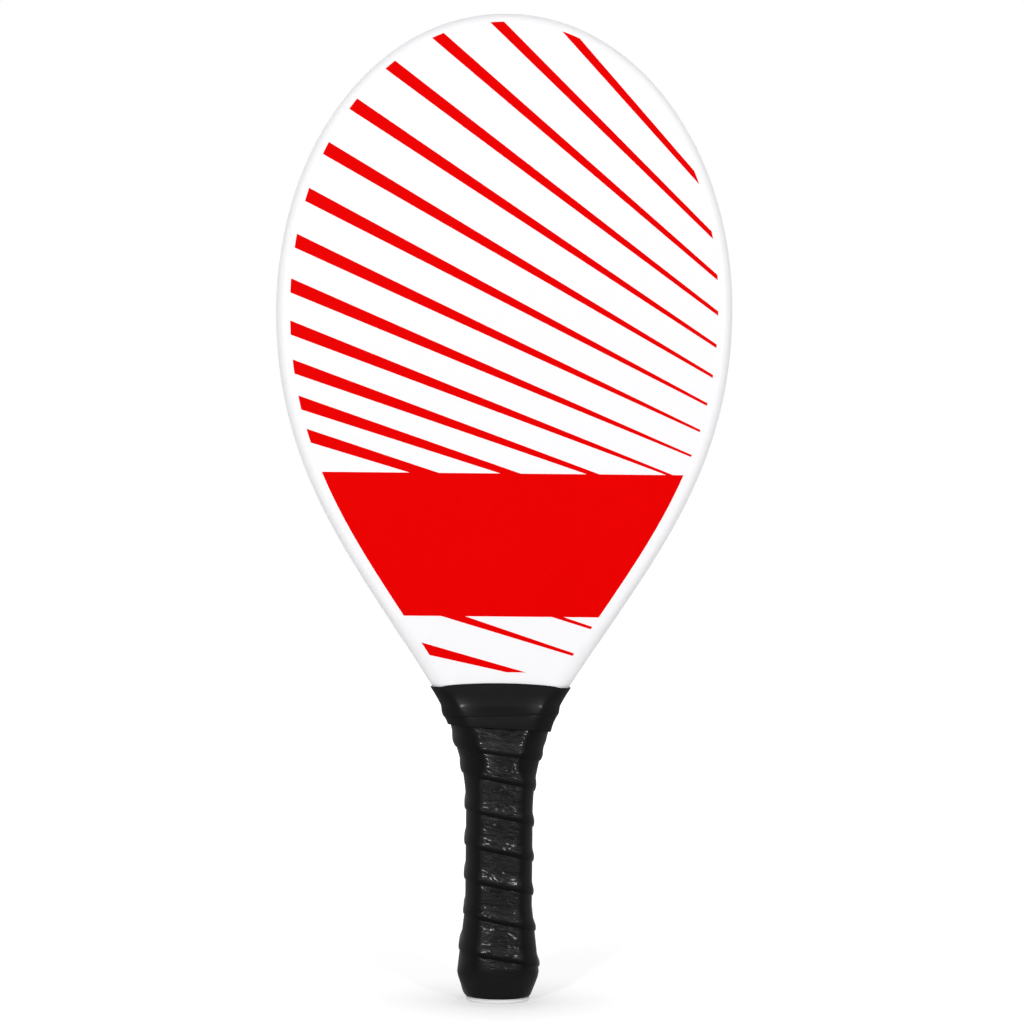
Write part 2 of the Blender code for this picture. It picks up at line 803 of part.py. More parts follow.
def stripe_outline(low, high, fan, index):
    """The part of a printed field inside one stripe, which tapers from left to right."""
    station = FAN_STATION * BLADE_HALF_WIDTH
    tall = high - low
    left = low + tall * march(fan["left"], index)
    right = low + tall * march(fan["right"], index)
    left_width = tall * march(fan["left_width"], index)
    taper = (tall * march(fan["right_width"], index) - left_width) / (2 * station)
    end = (STRIPE_LEAST_WIDTH - left_width) / taper - station
    outline = clipped(mirrored(print_edge(low, high)), Vector((end, 0.0)), Vector((0.0, 1.0)))
    for side in (1, -1):
        start = Vector((-station, left + side * left_width / 2))
        slope = (right - left) / (2 * station) + side * taper / 2
        outline = clipped(outline, start, Vector((-side, -side * slope)))
    return outline


def build_print():
    """Printed film on each face: the panel, and the stripes that show above and below it."""
    outlines = {"panel": mirrored(print_edge(PANEL_BOTTOM, PANEL_TOP))}
    fields = (
        (UPPER_FAN, PANEL_TOP + CLEARANCE, TIP),
        (LOWER_FAN, PRINT_BOTTOM, PANEL_BOTTOM - CLEARANCE),
    )
    number = 0
    for fan, low, high in fields:
        for index in range(fan["count"]):
            number += 1
            outlines[f"stripe_{number:02d}"] = stripe_outline(low, high, fan, index)
    for label, outline in outlines.items():
        for name, side in SIDES:
            middle = side * PRINT_HALF_Y
            film = upright_plate(f"{name}_{label}", outline, PRINT_THICKNESS, middle, PADDLE, INK)
            film.rotation_euler.z = math.pi if side > 0 else 0.0


# Build

clear_scene()
PADDLE = make_collection("frescobol_paddle")
CUTTERS = make_collection("cutters")
ROOT = bpy.data.objects.new("paddle_root", None)
PADDLE.objects.link(ROOT)

PAINT = make_material("white_paint", (0.95, 0.95, 0.96), 0.25)
INK = make_material("red_ink", (0.84, 0.0, 0.0), 0.35)
FOAM = make_material("core_foam", (0.78, 0.76, 0.68), 0.9)
WOOD = make_material("handle_wood", (0.62, 0.43, 0.25), 0.7)
CAP_PLASTIC = make_material("cap_plastic", (0.85, 0.85, 0.85), 0.45)
STEEL = make_material("staple_steel", (0.6, 0.6, 0.62), 0.35, 1.0)
CUSHION = make_material("cushion_foam", (0.09, 0.09, 0.09), 0.95)
GRIP = make_material("grip_tape", (0.012, 0.012, 0.012), 0.5)
COLLAR = make_material("finishing_tape", (0.015, 0.015, 0.015), 0.6)

EDGE = edge_points()
SLOTS = {}
for side_name, side_sign in SIDES:
    slot = staple(f"{side_name}_staple_slot", side_sign, CLEARANCE, CUTTERS)
    SLOTS[side_name] = as_cutter(as_mesh(slot))

build_core()
build_rim()
build_skins()
build_spine()
build_cheeks()
build_cap()
build_staples()
build_sleeve()
build_grip_tape()
build_collar()
build_print()
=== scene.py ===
"""Frescobol paddle: the painted blade with its print, the wound grip, a pale floor and lamps.

Metres, +Z up, with the paddle's butt on the floor and its printed front towards -Y.
"""

import math

import bpy
import numpy as np
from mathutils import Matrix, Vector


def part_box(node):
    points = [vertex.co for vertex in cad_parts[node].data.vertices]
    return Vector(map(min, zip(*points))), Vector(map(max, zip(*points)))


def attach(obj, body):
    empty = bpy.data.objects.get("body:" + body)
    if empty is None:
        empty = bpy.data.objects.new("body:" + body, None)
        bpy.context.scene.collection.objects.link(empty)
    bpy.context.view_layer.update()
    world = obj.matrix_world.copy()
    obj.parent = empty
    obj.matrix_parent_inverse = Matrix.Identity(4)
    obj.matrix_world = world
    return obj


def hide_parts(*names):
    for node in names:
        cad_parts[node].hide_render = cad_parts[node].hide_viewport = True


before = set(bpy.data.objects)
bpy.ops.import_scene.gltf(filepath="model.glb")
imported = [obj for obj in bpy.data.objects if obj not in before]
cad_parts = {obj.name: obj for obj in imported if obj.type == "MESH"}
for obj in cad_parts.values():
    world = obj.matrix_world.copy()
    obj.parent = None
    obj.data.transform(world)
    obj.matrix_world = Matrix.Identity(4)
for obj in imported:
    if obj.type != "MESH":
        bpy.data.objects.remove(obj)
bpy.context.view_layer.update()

bl_info = {
    "name": "Frescobol Paddle",
    "version": (1, 0, 0),
    "blender": (4, 5, 0),
    "location": "3D View > Sidebar > Paddle",
    "description": "Dresses a beach tennis paddle: painted blade, print, wound grip and studio stage",
    "category": "Add Mesh",
}

# Sizes that the fixed frame gives no box for
CLEARANCE = 0.0003
SHOULDER_BELOW_BLADE = 0.004
WRAP_CLEARANCE = 0.00035
PADDING = 0.00155
FULL_PAD = WRAP_CLEARANCE + PADDING
REBATE = 0.0015
REBATE_STEP = 0.0004

# Heights and half sizes that come from the fixed frame
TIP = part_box("rim_band")[1].z
BLADE_HALF_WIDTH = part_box("rim_band")[1].x
BLADE_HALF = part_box("rim_band")[1].y
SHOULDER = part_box("foam_core")[0].z - CLEARANCE
BLADE_START = SHOULDER + SHOULDER_BELOW_BLADE
SKIN_INNER = -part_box("front_skin")[1].y
WOOD_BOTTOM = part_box("front_cheek")[0].z
SLEEVE_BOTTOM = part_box("cushion_sleeve")[0].z
SLEEVE_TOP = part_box("cushion_sleeve")[1].z
GRIP_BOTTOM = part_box("overgrip_tape")[0].z
GRIP_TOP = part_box("overgrip_tape")[1].z
PANEL_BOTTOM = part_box("front_panel")[0].z
PANEL_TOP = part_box("front_panel")[1].z
PRINT_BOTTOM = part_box("front_stripe_16")[0].z
CAP_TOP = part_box("butt_cap")[1].z

# The bare paddle's outline
WIDEST = TIP - 0.1442
FLARE_START = BLADE_START - 0.062
HANDLE_HALF_WIDTH = 0.0133
THROAT_HALF_WIDTH = 0.0344
THROAT_SPREAD = 0.64
THROAT_PULL_UP = 0.059
THROAT_PULL_DOWN = 0.017
SIDE_PULL_DOWN = 0.0793
SIDE_PULL_UP = 0.0784
TIP_PULL = 0.064
FLARE_PULL = 0.028

# Section of the handle, from the butt to the throat. A pair says where an eased change begins
# and the length that it takes.
HANDLE_HALF_DEPTH = 0.012
THROAT_HALF_DEPTH = BLADE_HALF + 0.0001
CHEEK_TOP = SHOULDER - 0.001
CHEEK_RAMP = 0.041
HANDLE_BEVEL = 0.0052
THROAT_BEVEL = 0.0093
HANDLE_SIDE = 0.0068
FLARE_SIDE = 0.0030
BLADE_SIDE = 0.0046
BEVEL_OPENS = (0.104, 0.014)
SIDE_NARROWS = (0.100, 0.025)
SIDE_WIDENS = (0.146, 0.008)
CORNERS_BEGIN = (0.012, 0.010)
CAP_FLARE = 0.0037
CAP_FOOT_FLARE = 0.0012
CAP_EDGE = 0.0140
CAP_ROUND = 0.024
CAP_WALL = 0.0012
CAP_FLOOR = 0.003
DISC = 0.0016
CORNER_POWER = 30.0
CROWN = 0.20
LEAN = 0.10
LEAN_RAMP = 0.02
LEAN_TOP = 0.150
SIDE_PAD = 0.0005
PLAIN_HEIGHT = 0.07
LEAST_WIDTH = 0.0004

# Inner parts: the narrow land along a board's edges, the cushion's two faces over the wood, and
# where the scales and the laminates' tails end
EDGE_LAND = 0.0002
CUSHION_OFFSETS = (0.00025, 0.00135)
SCALE_TOP = 0.1455
TAIL_TOP = 0.146
TAIL_REBATE = 0.0016

# Painted shell: where it ends under the collar, by which share it thins there and over which
# length, and where its edge is rounder at the throat
SHELL_BOTTOM = 0.1478
SHELL_THINNED = 0.22
THINNING = (0.0006, 0.0035)
THROAT_ROUND_TOP = 0.192
THROAT_ROUND_FADE = 0.038

# Wound strips: turns over which a lap grows and an end sinks in, and the shares of the lap's lift
# and of the thickness that are left at the very edge
LAP_GROWS = 0.12
END_SINKS = 0.10
LAP_AT_EDGE = 0.15
BODY_AT_EDGE = 0.12

# Creases of the grip tape, coarse to fine: weight, slant up and along, length, width and seed
CREASES = (
    (0.40, 0.0, 0.0, 0.0085, 0.0022, 5),
    (0.32, 0.8, -0.3, 0.0060, 0.0019, 7),
    (0.28, -0.7, 0.35, 0.0027, 0.0013, 9),
)


# Shapes, each worked out as whole arrays


def ease(share):
    """Smooth step: 3 s squared less 2 s cubed, with s held between 0 and 1."""
    share = np.clip(share, 0.0, 1.0)
    return share * share * (3.0 - 2.0 * share)


def ramp(x, start, length):
    """Smooth step of how far x is past the start, over the length."""
    return ease((x - start) / length)


def hump(x, middle, width):
    """Bell curve: e to minus the square of x's distance from the middle, over the width."""
    return np.exp(-(((x - middle) / width) ** 2))


def cubic(start, pull, push, end, count):
    """Cubic curve: the four points weighed by s cubed, 3 s s t, 3 s t t and t cubed, with s = 1 - t."""
    t = np.linspace(0.0, 1.0, count)[:, None]
    s = 1.0 - t
    points = np.array([start, pull, push, end])
    return points[0] * s**3 + points[1] * 3 * s * s * t + points[2] * 3 * s * t * t + points[3] * t**3


def outline_edge():
    """Right-hand edge of the bare paddle: three cubic curves, from the flare's foot to the tip."""
    foot = (HANDLE_HALF_WIDTH, FLARE_START)
    throat = (THROAT_HALF_WIDTH, BLADE_START)
    side = (BLADE_HALF_WIDTH, WIDEST)
    below = (throat[0] - THROAT_SPREAD * THROAT_PULL_DOWN, BLADE_START - THROAT_PULL_DOWN)
    above = (throat[0] + THROAT_SPREAD * THROAT_PULL_UP, BLADE_START + THROAT_PULL_UP)
    flare = cubic(foot, (foot[0], FLARE_START + FLARE_PULL), below, throat, 160)
    lower = cubic(throat, above, (side[0], WIDEST - SIDE_PULL_DOWN), side, 260)
    upper = cubic(side, (side[0], WIDEST + SIDE_PULL_UP), (TIP_PULL, TIP), (0.0, TIP), 300)
    return np.concatenate([flare[:-1], lower[:-1], upper])


EDGE = outline_edge()


def half_width(z):
    """Half width of the bare paddle: the outline's x at height z."""
    return np.interp(z, EDGE[:, 1], EDGE[:, 0])


def half_depth(z):
    """Half depth of handle and throat: the handle's depth, eased down to the blade's."""
    share = ease((CHEEK_TOP - z) / CHEEK_RAMP)
    return THROAT_HALF_DEPTH + (HANDLE_HALF_DEPTH - THROAT_HALF_DEPTH) * share


def bevel_reach(z):
    """How far the bevel reaches in along X: eased from the handle's reach out to the throat's."""
    return HANDLE_BEVEL + (THROAT_BEVEL - HANDLE_BEVEL) * ramp(z, *BEVEL_OPENS)


def side_height(z):
    """Half height of the straight side: less on the flare, and a little more at the blade."""
    narrowed = (HANDLE_SIDE - FLARE_SIDE) * ramp(z, *SIDE_NARROWS)
    return HANDLE_SIDE - narrowed + (BLADE_SIDE - FLARE_SIDE) * ramp(z, *SIDE_WIDENS)


def cap_flare(z):
    """How far the butt stands out: a straight rise to its edge, then a straight fall to its top."""
    fall = CAP_FLARE * np.clip((CAP_TOP - z) / (CAP_TOP - CAP_EDGE), 0.0, 1.0)
    share = np.clip((z - DISC) / (CAP_EDGE - DISC), 0.0, 1.0)
    return np.minimum(fall, CAP_FOOT_FLARE + (CAP_FLARE - CAP_FOOT_FLARE) * share)


def handle_heights(below, above, top):
    """Heights up the handle: some over the butt's rebate, the rest from just past it to the top."""
    rebate = np.linspace(WOOD_BOTTOM, CAP_TOP, below)
    return np.concatenate([rebate, np.linspace(CAP_TOP + REBATE_STEP, top, above)])


def section(theta, level, offset):
    """How the handle's section is cut at angle theta: x and y of the box round it, and three shares.

    The section is an octagon: flats at plus or minus the half width and half depth, and four
    bevels. The shares say how far a ray to the box's own ellipse goes past the side, the front or
    back, and the bevel. The front and back are crowned over the padding: y falls off by CROWN times
    the square of x over the width. The sides are fuller by SIDE_PAD.
    """
    flare = cap_flare(level) + offset
    padded = np.clip(offset / FULL_PAD, 0.0, 1.0)
    wide = half_width(level) + SIDE_PAD * padded
    deep = half_depth(level)
    side = side_height(level)
    reach_in = bevel_reach(level)
    drop = deep - side
    length = np.hypot(reach_in, drop)
    normal_x = drop / length
    normal_y = reach_in / length
    reach = normal_x * wide + normal_y * side + flare
    x = np.sin(theta) * (wide + flare)
    y = np.cos(theta) * (deep + flare)
    sine = np.abs(np.sin(theta))
    cosine = np.abs(np.cos(theta))
    crowned = 0.5 * (cosine + np.sqrt(cosine**2 + 4.0 * CROWN * padded * sine**2))
    bevelled = (normal_x * np.abs(x) + normal_y * np.abs(y)) / reach
    return x, y, (sine, crowned, bevelled)


def handle_point(theta, z, offset, shape_z=None):
    """Point on the handle's skin, pushed out by offset.

    A ray at angle theta from +Y is cut at 1 over the p-norm of the section's three shares, which
    rounds the corners, and the factor is eased to an ellipse's at the butt. Last, past the sides
    x leans by LEAN times the depth gone past them, as the cushion lies a little askew.
    """
    level = z if shape_z is None else shape_z
    x, y, shares = section(theta, level, offset)
    factor = sum(share**CORNER_POWER for share in shares) ** (-1.0 / CORNER_POWER)
    roundness = np.clip((CAP_ROUND - level) / (CAP_ROUND - DISC), 0.0, 1.0)
    factor = factor + (1.0 - factor) * roundness
    x = x * factor
    y = y * factor
    lean = LEAN * ramp(z, DISC, LEAN_RAMP) * ease((LEAN_TOP - z) / LEAN_RAMP)
    past_side = np.sign(y) * np.maximum(np.abs(y) - side_height(level), 0.0)
    return np.stack(np.broadcast_arrays(x - past_side * lean, y, z), axis=-1)


def on_flat(theta, z, power=2.0 * CORNER_POWER, bevel_weight=1.0):
    """How far a place is on the front or back flat: its share of a p-norm, 1 there, 0 on a bevel.

    Where the bevel weighs more than 1, the share falls off a little before the bevel begins.
    """
    _, _, (side, flat, bevel) = section(theta, z, FULL_PAD)
    return flat**power / (side**power + flat**power + (bevel_weight * bevel) ** power)


def painted_corner_sheen(theta, z):
    """How much painted sheen a place gets: 1 on a corner, less by a power of e beside it.

    On the handle the corner lies between bevel and side, and on the round butt at its widest.
    """
    # Painted sheen: a lighter tint where the tape turns away from view, not real wear.
    _, _, (side, _, bevel) = section(theta, z, FULL_PAD)
    near = np.minimum(side / bevel, bevel / np.maximum(side, 1e-6))
    handle = np.exp((near - 1.0) / 0.09)
    butt = np.exp((side - 1.0) / 0.07)
    return butt + (handle - butt) * ramp(z, *CORNERS_BEGIN)


def turn_angle(share):
    """Angle round the handle at a share of a turn, by length round the plain handle's section."""
    theta = np.linspace(0.0, 2.0 * math.pi, 1441)
    ring = handle_point(theta, PLAIN_HEIGHT, PADDING)
    steps = np.linalg.norm(np.diff(ring, axis=0), axis=1)
    along = np.concatenate([[0.0], np.cumsum(steps)])
    return np.interp(share % 1.0, along / along[-1], theta)


def lattice(i, j, seed):
    """Steady number from 0 to 1 for each pair of whole numbers, from their bits mixed."""
    mix = (i * 374761393 + j * 668265263 + seed * 69069) & 0xFFFFFFFF
    mix = ((mix ^ (mix >> 13)) * 1274126177) & 0xFFFFFFFF
    return (mix ^ (mix >> 16)) / 4294967295.0


def ripple(u, v, seed):
    """Smooth noise from -1 to 1: lattice numbers blended by an eased step in both directions."""
    i = np.floor(u).astype(np.int64)
    j = np.floor(v).astype(np.int64)
    a = ease(u - i)
    b = ease(v - j)
    low = lattice(i, j, seed) * (1 - a) + lattice(i + 1, j, seed) * a
    high = lattice(i, j + 1, seed) * (1 - a) + lattice(i + 1, j + 1, seed) * a
    return 2.0 * (low * (1 - b) + high * b) - 1.0


def crinkle(along, across):
    """Relief of the crinkled tape, from 0 to 1: ridges where warped noise passes through nought.

    The relief is the weighed sum, over the creases, of the square of 1 less the noise's size.
    """
    u = along + 0.0020 * ripple(along / 0.0050, across / 0.0036, 11)
    v = across + 0.0014 * ripple(along / 0.0040, across / 0.0050, 23)
    height = 0.0
    for weight, up, along_too, length, width, seed in CREASES:
        ridge = 1.0 - np.abs(ripple((u + up * v) / length, (v + along_too * u) / width, seed))
        height = height + weight * ridge**2
    return height


def grip_base(z):
    """Offset of the grip tape's inner face: over the cushion, and down to the wood past its ends."""
    above = (z - SLEEVE_TOP - WRAP_CLEARANCE) / 0.009
    below = (SLEEVE_BOTTOM - z) / (SLEEVE_BOTTOM - DISC)
    return WRAP_CLEARANCE + PADDING * (1.0 - np.clip(np.maximum(above, below), 0.0, 1.0))


def grid_faces(rows, columns, closed_rows=False, closed_columns=False):
    """Quads of a grid of points numbered row by row, joined round where a direction is closed."""
    r = np.arange(rows if closed_rows else rows - 1)[:, None]
    c = np.arange(columns if closed_columns else columns - 1)[None, :]
    up = (r + 1) % rows
    right = (c + 1) % columns
    corners = [r * columns + c, r * columns + right, up * columns + right, up * columns + c]
    return np.stack([np.broadcast_to(k, (r.size, c.size)) for k in corners], axis=-1).reshape(-1, 4)


def faces_out(points, faces):
    """Turn every face round where the closed shape's signed volume is below nought."""
    volume = 0.0
    for face in faces:
        corners = points[face]
        for k in range(1, face.shape[1] - 1):
            cross = np.cross(corners[:, k], corners[:, k + 1])
            volume += float(np.einsum("ij,ij->", corners[:, 0], cross))
    return faces if volume > 0.0 else [face[:, ::-1] for face in faces]


def stacked(rings):
    """Closed shape from rings of points in order, with one face over each end."""
    count, ring = rings.shape[:2]
    points = rings.reshape(-1, 3)
    sides = grid_faces(count, ring, closed_columns=True)
    first = np.arange(ring)[None, ::-1]
    last = (np.arange(ring) + (count - 1) * ring)[None, :]
    return points, faces_out(points, [sides, first, last])


def board(xs, ys, z):
    """Closed board from its corners' x and y at each height, in order round it."""
    return stacked(np.stack([np.stack([x, y, z], axis=-1) for x, y in zip(xs, ys)], axis=1))


def domed(rings, start, end):
    """Closed shape from rings of points in order, with a fan about a middle point at each end."""
    count, ring = rings.shape[:2]
    points = np.concatenate([rings.reshape(-1, 3), [start, end]])
    sides = grid_faces(count, ring, closed_columns=True)
    here = np.arange(ring)
    after = (here + 1) % ring
    top = (count - 1) * ring
    first = np.stack([after, here, np.full(ring, count * ring)], axis=1)
    last = np.stack([here + top, after + top, np.full(ring, count * ring + 1)], axis=1)
    return points, faces_out(points, [sides, first, last])


def quarter_round(distance, radius):
    """Rise of a quarter ellipse from 0 to 1, by the distance from its foot over its radius."""
    return np.sqrt(1.0 - (1.0 - np.clip(distance / radius, 0.0, 1.0)) ** 2)


def strip_body(turns, per_turn, across, tape):
    """Wound strip with a thickness: points, faces, and coordinates, creasing and painted sheen at each
    point.

    Station t turns up the strip lies at the angle of its share of a turn. Across it, height runs
    from the strip's lower edge to its upper one. Its offset is the base's, plus a lift over the
    turn below it, plus the thickness and the relief on the outer face. The lift is a soft swell:
    it falls off upwards by the ramp, and near the lower edge it rounds in as a quarter ellipse.
    Near either end the strip sinks into what it is wound on.
    The section is a closed ring: the outer face up, then the inner face down.
    """
    t = np.linspace(tape["from"], turns, int((turns - tape["from"]) * per_turn) + 1)[:, None]
    theta = turn_angle(tape["start"] + t)
    top = tape["top"] - tape["dip"] * np.minimum(np.abs(np.tan(theta)), 1.0) ** 2
    edge = tape["edge"](t, theta)
    low = np.maximum(edge, tape["bottom"])
    high = np.maximum(np.minimum(edge + tape["width"], top), low + LEAST_WIDTH)
    started = ramp(t, tape["lap_start"], LAP_GROWS)
    sunk = tape["sink"] * (1.0 - ease(np.minimum(t - tape["from"], turns - t) / END_SINKS))
    rings = []
    places = []
    for share, is_outer in ((np.asarray(across), True), (np.asarray(tape["inner"])[::-1], False)):
        z = low + (high - low) * share[None, :]
        along = np.broadcast_to(t * tape["girth"], z.shape)
        lap = (1.0 - ease((z - edge - tape["swell"]) / tape["ramp"])) * started * tape["lift"]
        offset = tape["base"](z) - sunk
        crease_and_sheen = np.zeros(z.shape)
        if is_outer:
            body = quarter_round(np.minimum(z - low, high - z), tape["nose"])
            crease_and_sheen = tape["crease_and_sheen"](theta, z, z - edge)
            lip = quarter_round(z - low, tape["lip"])
            offset = offset + lap * (LAP_AT_EDGE + (1.0 - LAP_AT_EDGE) * lip)
            offset = offset + tape["thickness"] * (BODY_AT_EDGE + (1.0 - BODY_AT_EDGE) * body)
            offset = offset + tape["relief"](along, z - edge) * crease_and_sheen * body
        else:
            offset = offset + lap * LAP_AT_EDGE
        rings.append(handle_point(theta, z, offset))
        places.append(np.stack([along, z - edge, crease_and_sheen, painted_corner_sheen(theta, z)], axis=-1))
    return *stacked(np.concatenate(rings, axis=1)), np.concatenate(places, axis=1).reshape(-1, 4)


def inward(edge):
    """Unit normals of a right-hand edge: its direction turned a quarter turn to the left."""
    ahead = np.gradient(edge, axis=0)
    ahead = ahead / np.linalg.norm(ahead, axis=1, keepdims=True)
    return np.stack([-ahead[:, 1], ahead[:, 0]], axis=1)


def inset_ring(right, distance):
    """Ring round the paddle: its right edge moved in along its normals, mirrored, closed below."""
    moved = right + inward(right) * np.broadcast_to(distance, len(right))[:, None]
    moved[-1, 0] = 0.0
    left = moved[-2::-1] * np.array([-1.0, 1.0])
    foot = np.linspace(left[-1], moved[0], 25)[1:-1]
    return np.concatenate([moved, left, foot])


def grid_over(half, z, count):
    """Grid of (x, z) points: even shares from minus to plus the half width at each height."""
    x = half[:, None] * np.linspace(-1.0, 1.0, count)[None, :]
    return np.stack([x, np.broadcast_to(z[:, None], x.shape)], axis=-1)


def slab(grid, y_front, y_back):
    """Closed plate from a grid of (x, z) points: the grid at two depths, joined round its border."""
    rows, columns = grid.shape[:2]
    flat = grid.reshape(-1, 2)
    front = np.stack([flat[:, 0], np.full(len(flat), y_front), flat[:, 1]], axis=1)
    back = front.copy()
    back[:, 1] = y_back
    points = np.concatenate([front, back])
    faces = grid_faces(rows, columns)
    number = np.arange(rows * columns).reshape(rows, columns)
    border = np.concatenate([number[0, :-1], number[:-1, -1], number[-1, :0:-1], number[:0:-1, 0]])
    after = np.roll(border, -1)
    wall = np.stack([after, border, border + len(flat), after + len(flat)], axis=1)
    return points, faces_out(points, [faces, faces[:, ::-1] + len(flat), wall])


def joined(parts):
    """Several (points, faces) as one, with the faces renumbered."""
    points = []
    faces = []
    count = 0
    for part_points, part_faces in parts:
        points.append(part_points)
        faces.extend(face + count for face in part_faces)
        count += len(part_points)
    return np.concatenate(points), faces


def linked(name, data):
    """New object that holds the data, in the scene."""
    thing = bpy.data.objects.new(name, data)
    bpy.context.scene.collection.objects.link(thing)
    return thing


def add_piece(name, shape, finish, replaced, smooth=True):
    """Make a mesh piece at the origin that rides on the paddle and stands for CAD nodes.

    A shape is its points and faces, and for a wound strip also what strip_body says of each point.
    """
    points, faces, *strip = shape
    mesh = bpy.data.meshes.new(name)
    mesh.from_pydata(points.tolist(), [], [face for block in faces for face in block.tolist()])
    mesh.validate()
    mesh.polygons.foreach_set("use_smooth", np.full(len(mesh.polygons), smooth))
    if strip:
        along, across, crease_and_sheen, painted_sheen = np.array(strip[0].T, np.float32, order="C")
        corners = np.empty(len(mesh.loops), dtype=np.int32)
        mesh.loops.foreach_get("vertex_index", corners)
        layer = mesh.uv_layers.new(name="strip")
        layer.data.foreach_set("uv", np.stack([along, across], axis=1)[corners].ravel())
        # Kept at each point: the crease weight, which also sets painted sheen and shade, and the
        # painted corner sheen.
        for key, values in (("crease_and_sheen", crease_and_sheen), ("painted_corner_sheen", painted_sheen)):
            layer = mesh.attributes.new(key, "FLOAT", "POINT")
            layer.data.foreach_set("value", values)
    mesh.update()
    mesh.materials.append(finish)
    piece = linked(name, mesh)
    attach(piece, "root")
    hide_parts(*replaced)
    return piece


# Shader maths


class Wire:
    """A shader socket that takes part in sums: each sign adds a Math node."""

    def __init__(self, sheet, socket):
        self.sheet = sheet
        self.socket = socket

    def maths(self, operation, *values):
        sockets = dict(enumerate(values))
        return self.sheet.node("ShaderNodeMath", {"operation": operation}, sockets)

    def __add__(self, other):
        return self.maths("ADD", self, other)

    __radd__ = __add__

    def __sub__(self, other):
        return self.maths("SUBTRACT", self, other)

    def __rsub__(self, other):
        return self.maths("SUBTRACT", other, self)

    def __mul__(self, other):
        return self.maths("MULTIPLY", self, other)

    __rmul__ = __mul__

    def __truediv__(self, other):
        return self.maths("DIVIDE", self, other)

    def held(self):
        """The value held between 0 and 1."""
        return self.maths("MINIMUM", self.maths("MAXIMUM", self, 0.0), 1.0)


class Sheet:
    """A node tree that nodes are added to."""

    def __init__(self, tree):
        self.tree = tree

    def node(self, kind, settings=None, sockets=None, out=0):
        """Add a node of a kind, with its settings first, then the values or wires of its sockets."""
        node = self.tree.nodes.new(kind)
        for key, value in (settings or {}).items():
            setattr(node, key, value)
        for key, value in (sockets or {}).items():
            if isinstance(value, Wire):
                self.tree.links.new(value.socket, node.inputs[key])
            else:
                node.inputs[key].default_value = value
        return Wire(self, node.outputs[out])

    def seen_directly(self):
        """1 for rays from the camera, off gloss or through glass, and 0 for the light on things."""
        rays = ("Is Camera Ray", "Is Glossy Ray", "Is Transmission Ray")
        camera, glossy, through = (self.node("ShaderNodeLightPath", out=ray) for ray in rays)
        return (camera + glossy + through).held()


class Finish(Sheet):
    """One material's node sheet, which starts with its shader and its output."""

    def __init__(self, name, constants=None):
        self.material = bpy.data.materials.new(name)
        self.material.use_nodes = True
        super().__init__(self.material.node_tree)
        self.shader = self.tree.nodes["Principled BSDF"]
        for socket, value in (constants or {}).items():
            self.set(socket, value)

    def set(self, socket, value):
        """Give a socket of the main shader a value or a wire."""
        if isinstance(value, Wire):
            self.tree.links.new(value.socket, self.shader.inputs[socket])
        else:
            self.shader.inputs[socket].default_value = value

    def dress(self, colour, roughness, normal):
        """Wire up the colour, roughness and normal, and give the finished material."""
        self.set("Base Color", colour)
        self.set("Roughness", roughness)
        self.set("Normal", normal)
        return self.material

    def place(self, scale=(1.0, 1.0, 1.0)):
        """Object coordinates, scaled."""
        where = self.node("ShaderNodeTexCoord", out="Object")
        return self.node("ShaderNodeMapping", {}, {"Vector": where, "Scale": scale})

    def strip(self, scale=(1.0, 1.0, 1.0), turn=0.0):
        """Coordinates along and across a wound strip, in metres, scaled and turned."""
        where = self.node("ShaderNodeUVMap", {"uv_map": "strip"})
        sockets = {"Vector": where, "Scale": scale, "Rotation": (0.0, 0.0, turn)}
        return self.node("ShaderNodeMapping", {}, sockets)

    def attribute(self, name):
        """A value that is kept at each point of a wound strip."""
        return self.node("ShaderNodeAttribute", {"attribute_name": name}, out="Fac")

    def noise(self, scale, detail=3.0, roughness=0.5, distortion=0.0, where=None):
        """Fractal noise, about 0 to 1, on Object coordinates unless told where."""
        sockets = {"Vector": where or self.place(), "Scale": scale, "Detail": detail}
        sockets.update({"Roughness": roughness, "Distortion": distortion})
        return self.node("ShaderNodeTexNoise", {}, sockets)

    def cells(self, scale, feature="F1", where=None):
        """Distance in a pattern of cells, on Object coordinates unless told where."""
        sockets = {"Vector": where or self.place(), "Scale": scale}
        return self.node("ShaderNodeTexVoronoi", {"feature": feature}, sockets)

    def blend(self, factor, first, second):
        """Colour between two, by a factor."""
        sockets = {0: factor, 6: (*first, 1.0), 7: (*second, 1.0)}
        return self.node("ShaderNodeMix", {"data_type": "RGBA"}, sockets, out=2)

    def bump(self, height, strength, distance):
        """Bumped normal from a height."""
        sockets = {"Height": height, "Strength": strength, "Distance": distance}
        return self.node("ShaderNodeBump", {}, sockets)


def scaled(colour, factor):
    """A colour made lighter or darker."""
    return tuple(factor * part for part in colour)


def lacquer_finish(look):
    """Gloss white lacquer: faint clouding, soft orange peel and a slightly uneven gloss."""
    finish = Finish("white_lacquer", {"IOR": 1.5, "Specular IOR Level": 0.2})
    cloud = finish.noise(9.0, 2.0)
    peel = finish.noise(420.0, 2.0)
    speck = finish.noise(60.0, 4.0)
    return finish.dress(
        finish.blend(cloud, scaled(look.paint, 0.985), look.paint),
        look.paint_roughness + speck * 0.10 - 0.05,
        finish.bump(peel, 0.05, 0.0002),
    )


def print_finish(look):
    """Red screen print: ink a little uneven in strength, with a faint mesh of fine dots."""
    finish = Finish("red_print", {"IOR": 1.45, "Specular IOR Level": 0.01})
    cloud = finish.noise(22.0, 4.0)
    grain = finish.noise(900.0, 2.0)
    return finish.dress(
        finish.blend((cloud * 1.4 - 0.2).held(), scaled(look.ink, 0.965), look.ink),
        0.38 + grain * 0.12,
        finish.bump(grain, 0.04, 0.0001),
    )


